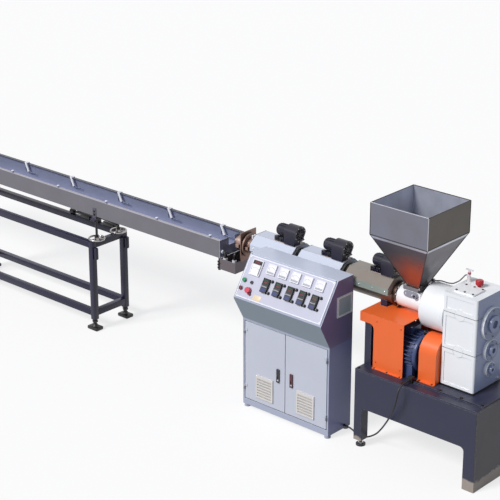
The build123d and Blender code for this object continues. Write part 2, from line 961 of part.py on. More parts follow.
def make_door_vent(left):
    """A framed filter vent with slots across it."""
    front = cabinet_front - vent_depth
    vent = block(left, left + vent_width, front, cabinet_front, vent_bottom, vent_bottom + vent_height)
    pitch = (vent_height - 2 * vent_frame) / vent_slat_count
    for number in range(vent_slat_count):
        z = vent_bottom + vent_frame + number * pitch
        vent -= block(left + vent_frame, left + vent_width - vent_frame, front - cut_over,
                      front + vent_recess, z, z + pitch / 2)
    return vent


def make_door_handle(left):
    """A flush handle: a rimmed pocket with its paddle."""
    front = cabinet_front - handle_depth
    right = left + handle_width
    top = handle_bottom + handle_height
    handle = block(left, right, front, cabinet_front, handle_bottom, top)
    handle -= block(left + handle_rim, right - handle_rim, front - cut_over, front + handle_pocket,
                    handle_bottom + handle_rim, top - handle_rim)
    paddle_bottom = top - handle_paddle_share * handle_height
    return handle + block(left + handle_rim, right - handle_rim, front + handle_rim / 2,
                          front + handle_pocket, paddle_bottom, top - handle_rim)


def make_door(left_door):
    low, high = door_limits(left_door)
    bottom = door_bottom + door_gap
    top = door_top - door_edge_margin - door_gap
    back = cabinet_front + door_thickness
    door = block(low, high, cabinet_front, back, bottom, top)
    hollow = block(low + door_thickness, high - door_thickness, cabinet_front + cabinet_sheet,
                   back + cut_over, bottom + door_thickness, top - door_thickness)
    door -= hollow
    middle = (low + high) / 2
    door += make_door_vent(middle - vent_width / 2)
    if left_door:
        handle_left = high - handle_inset - handle_width
    else:
        handle_left = low + handle_inset
    door += make_door_handle(handle_left)
    x, y = hinge_axis(left_door)
    inwards = 1 if left_door else -1
    for z in hinge_heights:
        knuckle_bottom = z + hinge_knuckle_height + joint_gap
        knuckle_top = z + 2 * hinge_knuckle_height
        door += hinge_leaf(x, inwards * hinge_leaf_reach, knuckle_bottom, knuckle_top)
        door += round_upright(hinge_radius, x, y, knuckle_bottom, knuckle_top)
        door -= round_upright(hinge_pin_radius + hinge_running_clearance, x, y,
                              knuckle_bottom - cut_over, knuckle_top + cut_over)
    return door


panel_length = math.hypot(panel_top_y - panel_lip_y, cabinet_top - panel_lip_z)
panel_plane = Plane(origin=(cabinet_left, panel_lip_y, panel_lip_z), x_dir=(1, 0, 0),
                    z_dir=(0, panel_lip_z - cabinet_top, panel_top_y - panel_lip_y))


def on_panel(across, up, width, height, base, top):
    """A block on the sloped panel: across from its left, up from its lower edge, between two heights."""
    local = Pos(across, up, (base + top) / 2) * Box(width, height, top - base)
    return panel_plane * local


def make_control_panel():
    middle = (cabinet_right - cabinet_left) / 2
    width = cabinet_right - cabinet_left - 2 * panel_plate_margin
    height = panel_length - 2 * panel_plate_margin
    rim = 2 * panel_rim_width
    panel = on_panel(middle, panel_length / 2, width, height, 0, panel_rim_height)
    return panel - on_panel(middle, panel_length / 2, width - rim, height - rim,
                            panel_plate_thickness, panel_rim_height + cut_over)


meter_row_share = 0.79
controller_row_share = 0.43
instrument_first_share = 0.30
instrument_last_share = 0.85
master_across_share = 0.135
master_up_share = 0.73


def make_instrument(across, up, width, height, depth, window_height):
    """A cased instrument with its window sunk inside the bezel, near its top edge."""
    top = panel_plate_thickness + depth
    case = on_panel(across, up, width, height, panel_plate_thickness, top)
    window_up = up + height / 2 - bezel - window_height / 2
    return case - on_panel(across, window_up, width - 2 * bezel, window_height, top - window_recess,
                           top + cut_over)


def instrument_across(index):
    step = (instrument_last_share - instrument_first_share) / (instrument_count - 1)
    return (instrument_first_share + step * index) * (cabinet_right - cabinet_left)


def make_panel_instruments():
    pieces = [make_instrument(master_across_share * (cabinet_right - cabinet_left),
                              master_up_share * panel_length, master_width, master_height, meter_depth,
                              master_height - 2 * bezel)]
    for index in range(instrument_count):
        across = instrument_across(index)
        pieces.append(make_instrument(across, meter_row_share * panel_length, meter_size, meter_size,
                                      meter_depth, meter_size - 2 * bezel))
        pieces.append(make_instrument(across, controller_row_share * panel_length, controller_width,
                                      controller_height, controller_depth,
                                      controller_window_share * controller_height))
    return pieces


# Across, up and size of each push button, as shares of the panel and of a plain button
button_shares = ((0.057, 0.413, 1), (0.141, 0.406, 0.7), (0.048, 0.228, 0.9), (0.139, 0.223, 1.5))


def make_button(across, up, radius, height):
    """A push button: a round cap in its collar."""
    cap_top = panel_plate_thickness + height
    collar_top = panel_plate_thickness + button_collar_height
    cap = Pos(across, up, (panel_plate_thickness + cap_top) / 2) * Cylinder(radius, height)
    collar = Pos(across, up, (panel_plate_thickness + collar_top) / 2) * Cylinder(
        radius + button_collar, button_collar_height)
    return panel_plane * (cap + collar)


def make_panel_buttons():
    width = cabinet_right - cabinet_left
    pieces = [make_button(across * width, up * panel_length, size * button_radius, size * button_height)
              for across, up, size in button_shares]
    beside = controller_width / 2 + switch_radius + 2 * button_collar
    for index in range(instrument_count):
        for side in (-1, 1):
            up = controller_row_share * panel_length + side * (controller_height / 2 - switch_radius)
            pieces.append(make_button(instrument_across(index) + beside, up, switch_radius, button_height))
    return pieces


# Cooling trough
trough_left = trough_right - trough_length
guide_count = 1 + int((guide_first_x - guide_clamp - trough_left) // guide_pitch)


def make_trough_channel():
    outer = block(trough_left, trough_right, -trough_half_width, trough_half_width,
                  trough_bottom, trough_top)
    inside = trough_half_width - trough_sheet
    inner = block(trough_left + trough_sheet, trough_right - trough_sheet, -inside, inside,
                  trough_bottom + trough_sheet, trough_top - trough_sheet)
    mouth = trough_half_width - trough_lip
    opening = block(trough_left + trough_sheet, trough_right - trough_sheet, -mouth, mouth,
                    trough_top - cut_over, trough_top + cut_over)
    notch = block(trough_left - cut_over, trough_right + cut_over, -notch_half_width,
                  notch_half_width, notch_bottom, trough_top + cut_over)
    return outer - inner - opening - notch


def make_drip_box():
    outer = block(trough_right, drip_right, -trough_half_width, trough_half_width,
                  drip_bottom, trough_bottom)
    inside = trough_half_width - trough_sheet
    inner = block(trough_right + trough_sheet, drip_right - trough_sheet, -inside, inside,
                  drip_bottom + trough_sheet, trough_bottom + cut_over)
    back = block(trough_right, drip_right, trough_half_width - trough_sheet, trough_half_width,
                 trough_bottom, drip_back_top)
    return outer - inner + back


def make_drain_pipe():
    x = trough_right - 2 * drain_radius
    y = -trough_half_width + 2 * drain_radius
    return round_upright(drain_radius, x, y, drain_bottom, trough_bottom)


guide_knob_radius = 9
guide_knob_height = 12
guide_knob_lead = 86


def make_profile_guides():
    pieces = []
    wall_y = trough_half_width - trough_lip - guide_rod_radius
    for index in range(guide_count):
        x = guide_first_x - index * guide_pitch
        top = trough_top - trough_sheet
        clamp = block(x - guide_clamp / 2, x + guide_clamp / 2, wall_y,
                      trough_half_width, trough_top, trough_top + trough_sheet)
        stem = round_upright(guide_rod_radius, x, wall_y, top - guide_rod_drop, trough_top)
        tail = round_along_x(guide_rod_radius, x - guide_rod_radius, x + guide_rod_tail,
                             wall_y, top - guide_rod_drop)
        pieces.append(clamp + stem + tail)
        knob_x = x + guide_knob_lead
        knob_y = -trough_half_width + trough_lip / 2
        pieces.append(round_upright(guide_knob_radius, knob_x, knob_y, trough_top,
                                    trough_top + guide_knob_height))
    return pieces


# Stand
stand_left = stand_right - stand_bay - stand_tube


def make_stand_lug(y):
    """A bored lug on the outer face of a right leg."""
    lug = block(stand_right, stand_right + stand_lug_width, y - stand_lug_width / 2,
                y + stand_lug_width / 2, stand_lug_bottom, stand_lug_bottom + stand_lug_height)
    return lug - round_upright(stand_lug_bore, stand_right + stand_lug_width / 2, y,
                               stand_lug_bottom - cut_over, stand_lug_bottom + stand_lug_height + cut_over)


def make_stand_legs():
    legs = []
    for x in (stand_left, stand_right - stand_tube):
        leg = block(x, x + stand_tube, -stand_half_width, -stand_half_width + stand_tube,
                    stand_foot_height, stand_top)
        foot_x = x + stand_tube / 2
        foot_y = -stand_half_width + stand_tube / 2
        leg += round_upright(stand_foot_radius, foot_x, foot_y, floor, stand_foot_height / 2)
        leg += round_upright(stand_foot_stem, foot_x, foot_y, stand_foot_height / 2, stand_foot_height)
        if x > stand_left:
            leg += make_stand_lug(foot_y)
        legs += both_sides(leg)
    return legs


def make_stand_long_rails():
    rails = []
    for top in (stand_top, stand_low_rail_top):
        rail = block(stand_left + stand_tube, stand_right - stand_tube, -stand_half_width,
                     -stand_half_width + stand_tube, top - stand_tube, top)
        rails += both_sides(rail)
    return rails


def make_stand_cross_rails():
    rails = []
    reach = stand_half_width - stand_tube
    for x in (stand_left, stand_right - stand_tube):
        for top in (stand_top, stand_low_rail_top):
            rails.append(block(x, x + stand_tube, -reach, reach, top - stand_tube, top))
    return rails


def jack_x(right_end):
    if right_end:
        return stand_right - stand_tube / 2
    return stand_left + stand_tube / 2


def make_trough_saddle(right_end):
    x = jack_x(right_end)
    strip_bottom = trough_bottom - slide_strip_height
    bar = block(x - saddle_bar_length / 2, x + saddle_bar_length / 2, -saddle_bar_half, saddle_bar_half,
                strip_bottom - saddle_bar_thickness, strip_bottom)
    for side in (-1, 1):
        y = side * (trough_half_width - slide_strip_width)
        bar += block(x - slide_strip_length / 2, x + slide_strip_length / 2,
                     y - slide_strip_width / 2, y + slide_strip_width / 2, strip_bottom, trough_bottom)
        bar += round_upright(jack_radius, x, side * jack_y, stand_top,
                             strip_bottom - saddle_bar_thickness)
        wall = side * trough_half_width
        outer = side * (trough_half_width + saddle_lug_thickness)
        bar += block(x - saddle_lug_width / 2, x + saddle_lug_width / 2, min(wall, outer), max(wall, outer),
                     strip_bottom - saddle_bar_thickness, trough_bottom + saddle_lug_rise)
    return bar


def make_handwheel(right_end, side):
    x = jack_x(right_end)
    y = side * jack_y
    low = stand_top + joint_gap
    rim_z = low + handwheel_height / 2
    wheel = round_upright(handwheel_hub, x, y, low, low + handwheel_height)
    wheel += Pos(x, y, rim_z) * Torus(handwheel_radius, handwheel_rim)
    spoke_start = (jack_radius + handwheel_hub) / 2
    for index in range(spoke_count):
        spoke = round_along_x(spoke_radius, spoke_start, handwheel_radius, 0, 0)
        wheel += Pos(x, y, rim_z) * Rot(0, 0, spoke_turn + 360 * index / spoke_count) * spoke
    wheel -= round_upright(jack_radius + jack_running_clearance, x, y, low - cut_over,
                           low + handwheel_height + cut_over)
    return wheel


# Motor lead and its glands
def lead_route():
    """Corner points of the lead, from the gland box's nut to the nut in the cabinet's side."""
    start = (lead_box_x, lead_box_front - lead_gland_length, deck_height + lead_exit_rise)
    end = (cabinet_right + cabinet_gland_length, cabinet_gland_y, cabinet_gland_z)
    return [start] + lead_middle_points + [end]


def lead_radii(points):
    """The largest arc that each corner's two runs allow."""
    radii = []
    for before, corner, after in zip(points, points[1:], points[2:]):
        run_in = Vector(corner) - Vector(before)
        run_out = Vector(after) - Vector(corner)
        turn = math.radians(run_in.get_angle(run_out))
        radii.append(lead_run_share * min(run_in.length, run_out.length) / math.tan(turn / 2))
    return radii


lead_run_share = 0.45


def make_motor_lead():
    points = lead_route()
    radii = lead_radii(points)
    print("motor lead radii", [round(radius) for radius in radii])
    path = FilletPolyline(*points, radius=radii)
    section = Plane(path @ 0, z_dir=path % 0) * Circle(lead_diameter / 2)
    lead = sweep(section, path=path)
    area = math.pi * lead_diameter**2 / 4
    volume_share = lead.volume / area / path.length
    print("motor lead length", round(path.length), "volume share", round(volume_share, 4))
    return lead


def make_motor_lead_glands():
    exit_z = deck_height + lead_exit_rise
    box = block(lead_box_x - lead_box_half, lead_box_x + lead_box_half, lead_box_front,
                lead_box_front + lead_box_depth, deck_height, deck_height + lead_box_height)
    box += Pos(lead_box_x, lead_box_front - lead_gland_length / 2, exit_z) * Rot(90, 0, 0) * Cylinder(
        lead_gland_radius, lead_gland_length)
    nut = round_along_x(lead_gland_radius, cabinet_right, cabinet_right + cabinet_gland_length,
                        cabinet_gland_y, cabinet_gland_z)
    return [box, nut]


pieces = {
    "base_deck": make_base_deck(),
    "base_side_plates": make_base_side_plates(),
    "base_end_pedestal": make_base_end_pedestal(),
    "base_left_legs": make_base_left_legs(),
    "barrel_pedestal": make_barrel_pedestal(),
    "motor_cover": make_motor_cover(),
    "main_motor": make_main_motor(),
    "shaft_coupling": make_shaft_coupling(),
    "coupling_guard": make_coupling_guard(),
    "gearbox_lower_case": make_gearbox_case(gearbox_bottom, gearbox_lower_top, [gearbox_lower_top]),
    "gearbox_middle_case": make_gearbox_case(gearbox_lower_top, gearbox_middle_top,
                                             [gearbox_lower_top, gearbox_middle_top]),
    "gearbox_top_case": make_gearbox_case(gearbox_middle_top, gearbox_top, [gearbox_middle_top]),
    "gearbox_lid": make_gearbox_lid(),
    "bearing_covers": make_bearing_covers(),
    "oil_fittings": make_oil_fittings(),
    "thrust_housing": make_thrust_housing(),
    "feed_housing": make_feed_housing(),
    "jacket_cover": make_jacket_cover(),
    "hopper_throat": make_hopper_throat(),
    "slide_gate": make_slide_gate(),
    "hopper_cone": make_hopper_cone(),
    "hopper_bin": make_hopper_bin(),
    "barrel": make_barrel(),
    "barrel_heaters": make_barrel_heaters(),
    "die_head": make_die_head(),
    "die_plate": make_die_plate(),
    "cabinet_body": make_cabinet_body(),
    "cabinet_door_left": make_door(True),
    "cabinet_door_right": make_door(False),
    "door_hinges": make_door_hinges(),
    "control_panel": make_control_panel(),
    "panel_instruments": make_panel_instruments(),
    "panel_buttons": make_panel_buttons(),
    "trough_channel": make_trough_channel(),
    "drip_box": make_drip_box(),
    "drain_pipe": make_drain_pipe(),
    "profile_guides": make_profile_guides(),
    "stand_legs": make_stand_legs(),
    "stand_long_rails": make_stand_long_rails(),
    "stand_cross_rails": make_stand_cross_rails(),
    "trough_saddle_right": make_trough_saddle(True),
    "trough_saddle_left": make_trough_saddle(False),
    "handwheel_right_front": make_handwheel(True, -1),
    "handwheel_right_back": make_handwheel(True, 1),
    "handwheel_left_front": make_handwheel(False, -1),
    "handwheel_left_back": make_handwheel(False, 1),
    "motor_lead_glands": make_motor_lead_glands(),
}
for number in range(guard_count):
    pieces[f"barrel_guard_{number + 1}"] = make_barrel_guard(number)
    pieces[f"blower_{number + 1}"] = make_blower(number)


def as_list(made):
    return made if isinstance(made, list) else [made]


boxes = [solid.bounding_box() for made in pieces.values() for solid in as_list(made)]
middle_x = (min(b.min.X for b in boxes) + max(b.max.X for b in boxes)) / 2
middle_y = (min(b.min.Y for b in boxes) + max(b.max.Y for b in boxes)) / 2
to_origin = Pos(-middle_x, -middle_y, 0)
pieces["motor_lead"] = make_motor_lead()

for node, made in pieces.items():
    solids = [solid for shape in as_list(made) for solid in (to_origin * shape).solids()]
    shape = solids[0] if len(solids) == 1 else Compound(children=solids)
    export_step(shape, f"parts/{node}.step")
print("middle", middle_x, middle_y)
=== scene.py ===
import bmesh
import bpy
import math
from mathutils import Matrix, Vector


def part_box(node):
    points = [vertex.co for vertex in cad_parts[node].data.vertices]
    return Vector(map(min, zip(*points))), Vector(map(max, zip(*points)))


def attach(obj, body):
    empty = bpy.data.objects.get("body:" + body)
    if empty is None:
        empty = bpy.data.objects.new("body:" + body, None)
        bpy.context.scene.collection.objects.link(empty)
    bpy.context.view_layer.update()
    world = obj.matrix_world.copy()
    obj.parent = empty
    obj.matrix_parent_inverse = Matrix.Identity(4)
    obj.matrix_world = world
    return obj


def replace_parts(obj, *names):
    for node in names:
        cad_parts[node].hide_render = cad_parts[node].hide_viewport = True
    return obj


# Plastic extruder line: finishes, small parts and the motor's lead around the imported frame.
# Metres and degrees. Places count from the floor under the feed throat.

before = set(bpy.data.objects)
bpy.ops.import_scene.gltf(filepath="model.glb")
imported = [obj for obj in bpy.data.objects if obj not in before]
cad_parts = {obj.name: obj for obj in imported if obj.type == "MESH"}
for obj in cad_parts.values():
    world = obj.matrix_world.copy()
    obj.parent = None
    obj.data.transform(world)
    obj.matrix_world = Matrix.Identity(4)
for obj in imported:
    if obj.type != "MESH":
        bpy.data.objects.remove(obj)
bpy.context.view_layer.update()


def centreOf(node):
    low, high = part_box(node)
    return (low + high) / 2


throat = Vector((centreOf("hopper_bin").x, centreOf("barrel").y, 0))
origin = dict(zip("XYZ", throat))


def place(x, y, z):
    return throat + Vector((x, y, z))


def srgb(code):
    values = [int(code[i:i + 2], 16) / 255 for i in (0, 2, 4)]
    linear = [v / 12.92 if v < 0.04045 else ((v + 0.055) / 1.055) ** 2.4 for v in values]
    return (*linear, 1.0)


# Nodes
def addNode(tree, kind, inputs=None, **settings):
    node = tree.nodes.new("ShaderNode" + kind)
    for name, value in settings.items():
        setattr(node, name, value)
    for label, value in (inputs or {}).items():
        if isinstance(value, bpy.types.NodeSocket):
            tree.links.new(value, node.inputs[label])
        else:
            node.inputs[label].default_value = value
    return node


def mathNode(tree, operation, *values, clamp=False):
    node = addNode(tree, "Math", dict(enumerate(values)), operation=operation, use_clamp=clamp)
    return node.outputs[0]


def times(tree, first, *others, clamp=False):
    for other in others:
        first = mathNode(tree, "MULTIPLY", first, other, clamp=clamp and other is others[-1])
    return first


def plus(tree, first, second, clamp=False):
    return mathNode(tree, "ADD", first, second, clamp=clamp)


def rangeNode(tree, value, low, high, toLow=0.0, toHigh=1.0):
    return addNode(tree, "MapRange", {
        "Value": value, "From Min": low, "From Max": high, "To Min": toLow, "To Max": toHigh,
    }).outputs["Result"]


def noiseNode(tree, vector, scale, detail, roughness=0.55):
    return addNode(tree, "TexNoise", {
        "Vector": vector, "Scale": scale, "Detail": detail, "Roughness": roughness,
    }).outputs["Fac"]


def mixColour(tree, factor, first, second):
    return addNode(tree, "Mix", {0: factor, 6: first, 7: second}, data_type="RGBA").outputs[2]


def objectPlace(tree):
    return addNode(tree, "TexCoord").outputs["Object"]


def axesOf(tree, vector):
    return addNode(tree, "SeparateXYZ", {0: vector}).outputs


def startMaterial(name):
    material = bpy.data.materials.new(name)
    material.use_nodes = True
    return material, material.node_tree, material.node_tree.nodes["Principled BSDF"]


# Camera, floor and light
shot = {
    "fromThroat": (5.654, -7.891, 5.131), "azimuth": 41.84, "down": 21.49,
    "lens": 120.05, "sensor": 36, "sees": 200,
}
studio = {
    "skyColour": (0.78, 0.86, 1.0, 1.0), "skyStrength": 0.32,
    "seenColour": (1, 1, 1, 1), "seenStrength": 1,
    "sunFrom": (-0.26, -0.85, 0.80), "sunStrength": 2.9, "sunSpread": 18,
    "floorHalf": 40, "floorRoughness": 0.9, "floorGloss": 0.1, "floorGlow": 0.74,
    "floorSeen": (0.995, 0.975, 0.965, 1.0), "floorFar": (0.34, 0.34, 0.36, 1.0),
}


def link(name, data):
    obj = bpy.data.objects.new(name, data)
    bpy.context.scene.collection.objects.link(obj)
    return obj


def aim(obj, forward):
    obj.rotation_mode = "QUATERNION"
    obj.rotation_quaternion = forward.to_track_quat("-Z", "Y")


def addCamera():
    data = bpy.data.cameras.new("camera")
    data.lens, data.sensor_width, data.clip_end = shot["lens"], shot["sensor"], shot["sees"]
    camera = link("camera", data)
    turn, down = math.radians(shot["azimuth"]), math.radians(shot["down"])
    camera.location = place(*shot["fromThroat"])
    aim(camera, Vector((-math.sin(turn) * math.cos(down), math.cos(turn) * math.cos(down),
                        -math.sin(down))))
    bpy.context.scene.camera = camera


def seenRays(tree):
    path = addNode(tree, "LightPath").outputs
    seen = path["Is Camera Ray"]
    for label in ("Is Glossy Ray", "Is Transmission Ray"):
        seen = mathNode(tree, "MAXIMUM", seen, path[label])
    return seen


def addWorld():
    world = bpy.data.worlds.new("studio")
    bpy.context.scene.world = world
    world.use_nodes = True
    tree = world.node_tree
    tree.nodes.clear()
    light, seen = (addNode(tree, "Background", {
        "Color": studio[f"{use}Colour"], "Strength": studio[f"{use}Strength"],
    }).outputs[0] for use in ("sky", "seen"))
    mix = addNode(tree, "MixShader", {0: seenRays(tree), 1: light, 2: seen})
    addNode(tree, "OutputWorld", {"Surface": mix.outputs[0]})


def addSun():
    data = bpy.data.lights.new("keyLight", "SUN")
    data.energy = studio["sunStrength"]
    data.angle = math.radians(studio["sunSpread"])
    aim(link("keyLight", data), -Vector(studio["sunFrom"]))


def addFloor():
    bm = bmesh.new()
    bmesh.ops.create_grid(bm, x_segments=1, y_segments=1, size=studio["floorHalf"])
    mesh = bpy.data.meshes.new("studioFloor")
    bm.to_mesh(mesh)
    bm.free()
    material, tree, shader = startMaterial("studioFloor")
    shader.inputs["Roughness"].default_value = studio["floorRoughness"]
    shader.inputs["Specular IOR Level"].default_value = studio["floorGloss"]
    seen = seenRays(tree)
    tree.links.new(mixColour(tree, seen, studio["floorFar"], studio["floorSeen"]),
                   shader.inputs["Base Color"])
    glow = addNode(tree, "Emission", {"Strength": studio["seenStrength"]})
    mix = addNode(tree, "MixShader", {0: times(tree, seen, studio["floorGlow"]),
                                      1: shader.outputs[0], 2: glow.outputs[0]})
    tree.links.new(mix.outputs[0], tree.nodes["Material Output"].inputs["Surface"])
    mesh.materials.append(material)
    link("studioFloor", mesh)


bpy.context.scene.view_settings.view_transform = "Standard"
addCamera()
addWorld()
addSun()
addFloor()
print("camera, floor and light are set")


# Shared shader groups
def shaderGroup(name, inputs, outputs, build):
    group = bpy.data.node_groups.new(name, "ShaderNodeTree")
    for label, (kind, value) in inputs.items():
        group.interface.new_socket(label, in_out="INPUT",
                                   socket_type="NodeSocket" + kind).default_value = value
    for label, kind in outputs.items():
        group.interface.new_socket(label, in_out="OUTPUT", socket_type="NodeSocket" + kind)
    given = group.nodes.new("NodeGroupInput").outputs
    result = group.nodes.new("NodeGroupOutput").inputs
    for label, socket in build(group, given).items():
        group.links.new(socket, result[label])
    return group


wearing = {"samples": 4, "flat": 0.995, "sharp": 0.80, "detail": 4.0, "rough": 0.65,
           "start": 0.55, "fade": 0.12}


def buildEdgeWear(group, given):
    bevel = addNode(group, "Bevel", {"Radius": given["Width"]}, samples=wearing["samples"])
    surface = addNode(group, "NewGeometry")
    dot = addNode(group, "VectorMath", {0: bevel.outputs["Normal"], 1: surface.outputs["Normal"]},
                  operation="DOT_PRODUCT")
    edge = rangeNode(group, dot.outputs["Value"], wearing["flat"], wearing["sharp"])
    patches = noiseNode(group, objectPlace(group), given["Scale"], wearing["detail"],
                        wearing["rough"])
    start = times(group, mathNode(group, "SUBTRACT", 1.0, given["Amount"]), wearing["start"])
    bare = rangeNode(group, times(group, edge, patches), start,
                     plus(group, start, wearing["fade"]))
    return {"Mask": bare, "Edge": edge}


dirtying = {"spotDetail": 6.0, "fineScale": 90.0, "fineDetail": 3.0, "rough": 0.6,
            "lying": (0.35, 1.0, 0.10, 0.75), "splash": 0.8, "spotShare": 0.75,
            "fineShare": 0.25, "cloud": (0.40, 0.72)}


def buildGrime(group, given):
    where = objectPlace(group)
    spots = noiseNode(group, where, given["Scale"], dirtying["spotDetail"], dirtying["rough"])
    fine = noiseNode(group, where, dirtying["fineScale"], dirtying["fineDetail"],
                     dirtying["rough"])
    facing = axesOf(group, addNode(group, "NewGeometry").outputs["Normal"])
    lying = rangeNode(group, facing["Z"], *dirtying["lying"])
    low = rangeNode(group, axesOf(group, where)["Z"], given["Splash Height"], 0.0, 0.0,
                    dirtying["splash"])
    cloud = rangeNode(group, plus(group, times(group, spots, dirtying["spotShare"]),
                                  times(group, fine, dirtying["fineShare"])), *dirtying["cloud"])
    return {"Mask": times(group, mathNode(group, "MAXIMUM", lying, low), cloud, given["Amount"],
                          clamp=True)}


mottling = {"detail": 5.0, "rough": 0.6, "middle": 0.5, "gain": 2.0}


def buildMottle(group, given):
    cloud = noiseNode(group, objectPlace(group), given["Scale"], mottling["detail"],
                      mottling["rough"])
    shift = times(group, mathNode(group, "SUBTRACT", cloud, mottling["middle"]),
                  given["Contrast"], mottling["gain"])
    adjust = addNode(group, "HueSaturation", {"Color": given["Color"],
                                              "Value": plus(group, 1.0, shift)})
    return {"Color": adjust.outputs["Color"], "Value": cloud}


brushing = {"line": (8.0, 4.0, 0.7), "smudge": (9.0, 4.0, 0.6)}


def buildBrushed(group, given):
    where = objectPlace(group)
    scaled = addNode(group, "VectorMath", {0: where, 1: given["Along"]}, operation="MULTIPLY")
    lines = noiseNode(group, scaled.outputs["Vector"], *brushing["line"])
    smudge = noiseNode(group, where, *brushing["smudge"])
    rest = mathNode(group, "SUBTRACT", 1.0, given["Depth"])
    grain = plus(group, times(group, lines, given["Depth"]), times(group, smudge, rest))
    return {"Grain": grain, "Height": lines}


spraying = {"peel": (2.0, 0.5), "waves": (14.0, 2.0, 0.5), "peelShare": 0.35}


def buildSprayed(group, given):
    where = objectPlace(group)
    peel = noiseNode(group, where, given["Scale"], *spraying["peel"])
    waves = noiseNode(group, where, *spraying["waves"])
    return {"Height": plus(group, times(group, peel, spraying["peelShare"]), waves)}


edgeWear = shaderGroup(
    "edgeWear", {"Width": ("Float", 0.004), "Amount": ("Float", 0.6), "Scale": ("Float", 24.0)},
    {"Mask": "Float", "Edge": "Float"}, buildEdgeWear)
grime = shaderGroup(
    "grime", {"Amount": ("Float", 0.4), "Scale": ("Float", 5.0), "Splash Height": ("Float", 0.12)},
    {"Mask": "Float"}, buildGrime)
mottle = shaderGroup(
    "mottle", {"Color": ("Color", (0.5, 0.5, 0.5, 1)), "Contrast": ("Float", 0.10),
               "Scale": ("Float", 3.0)}, {"Color": "Color", "Value": "Float"}, buildMottle)
brushedGrain = shaderGroup(
    "brushedGrain", {"Along": ("Vector", (1.0, 60.0, 60.0)), "Depth": ("Float", 0.5)},
    {"Grain": "Float", "Height": "Float"}, buildBrushed)
sprayedSkin = shaderGroup("sprayedSkin", {"Scale": ("Float", 260.0)}, {"Height": "Float"},
                          buildSprayed)
print("shader groups are made")


# Materials
def useGroup(tree, group, **values):
    inputs = {label.replace("_", " "): value for label, value in values.items()}
    return addNode(tree, "Group", inputs, node_tree=group).outputs


def dress(tree, shader, shade, rough, height, depth):
    bump = addNode(tree, "Bump", {"Distance": depth, "Height": height})
    for label, socket in (("Base Color", shade), ("Roughness", rough),
                          ("Normal", bump.outputs["Normal"])):
        tree.links.new(socket, shader.inputs[label])


def zonedColour(tree, colour, zones):
    shade = srgb(colour)
    if not zones:
        return shade
    axes = axesOf(tree, objectPlace(tree))
    for other, limits in zones:
        inside = None
        for axis, (low, high) in limits.items():
            centre = (low + high) / 2 + origin[axis]
            within = mathNode(tree, "COMPARE", axes[axis], centre, (high - low) / 2)
            inside = within if inside is None else times(tree, inside, within)
        shade = mixColour(tree, inside, shade, srgb(other))
    return shade


coat = {
    "mottle": 3.5, "chips": 30.0, "chipWidth": 0.004, "grime": 5.0, "skin": 320.0,
    "rag": (16.0, 6.0, 0.7), "ragHeight": 0.11, "bareFrom": 0.062, "bareTo": 0.046,
    "dirtRough": 0.4, "mottleRough": 0.18, "middle": 0.5,
}
plate = {
    "mottle": 6.0, "cloud": (4.0, 4.0), "cloudRange": (0.35, 0.70), "reflectionRag": (14.0, 3.0),
    "reflectionRagHeight": 0.10, "frontFrom": -0.6, "frontTo": -0.8, "edge": "d9d9dc", "edgeShare": 0.6,
    "edgeWidth": 0.003, "edgeScale": 40.0, "grime": 7.0, "splash": 0.08, "grain": (0.25, 0.75),
    "smoother": 0.10, "rougher": 0.14, "dirtRough": 0.5, "dust": "6f6a63",
}
mould = {
    "mottle": 12.0, "grime": 9.0, "splash": 0.05, "value": (0.3, 0.7), "smoother": 0.06,
    "rougher": 0.08, "skin": 900.0, "texture": 0.0001, "dust": "8d8b88",
}


def paint(name, colour, roughness=0.38, contrast=0.07, dust=0.2, dustColour="a9a69f", wear=0.35,
          under="8a8d90", peel=0.0004, splash=0.10, zones=None, worn=None):
    material, tree, shader = startMaterial(name)
    base = useGroup(tree, mottle, Color=zonedColour(tree, colour, zones), Contrast=contrast,
                    Scale=coat["mottle"])
    chips = useGroup(tree, edgeWear, Width=coat["chipWidth"], Amount=wear, Scale=coat["chips"])
    dirt = useGroup(tree, grime, Amount=dust, Scale=coat["grime"], Splash_Height=splash)["Mask"]
    shade = mixColour(tree, chips["Mask"], base["Color"], srgb(under))
    if worn:
        where = objectPlace(tree)
        ragged = times(tree, noiseNode(tree, where, *coat["rag"]), coat["ragHeight"])
        bare = rangeNode(tree, plus(tree, axesOf(tree, where)["Z"], ragged),
                         worn["height"] + coat["bareFrom"], worn["height"] + coat["bareTo"])
        shade = mixColour(tree, bare, shade, srgb(worn["colour"]))
    shade = mixColour(tree, dirt, shade, srgb(dustColour))
    rough = plus(tree, roughness, times(tree, dirt, coat["dirtRough"]), clamp=True)
    uneven = times(tree, mathNode(tree, "SUBTRACT", base["Value"], coat["middle"]),
                   coat["mottleRough"])
    skin = useGroup(tree, sprayedSkin, Scale=coat["skin"])
    dress(tree, shader, shade, plus(tree, rough, uneven, clamp=True), skin["Height"], peel)
    return material


# painted reflection: the orange covers' reflection painted onto front faces of the steel, strongest
# low down and fading upwards and to the sides
def paintOrangeReflection(tree, shade, orangeReflection):
    where = objectPlace(tree)
    axes = axesOf(tree, where)
    reflectionRag = times(tree, noiseNode(tree, where, *plate["reflectionRag"]), plate["reflectionRagHeight"])
    share = rangeNode(tree, plus(tree, axes["Z"], reflectionRag), *orangeReflection["height"])
    facing = axesOf(tree, addNode(tree, "NewGeometry").outputs["True Normal"])
    share = times(tree, share, rangeNode(tree, facing["Y"], plate["frontFrom"],
                                         plate["frontTo"]))
    for axis, low, high in orangeReflection["fades"]:
        share = times(tree, share, rangeNode(tree, axes[axis], low + origin[axis],
                                             high + origin[axis]))
    return mixColour(tree, times(tree, share, orangeReflection["share"]), shade, srgb(orangeReflection["colour"]))


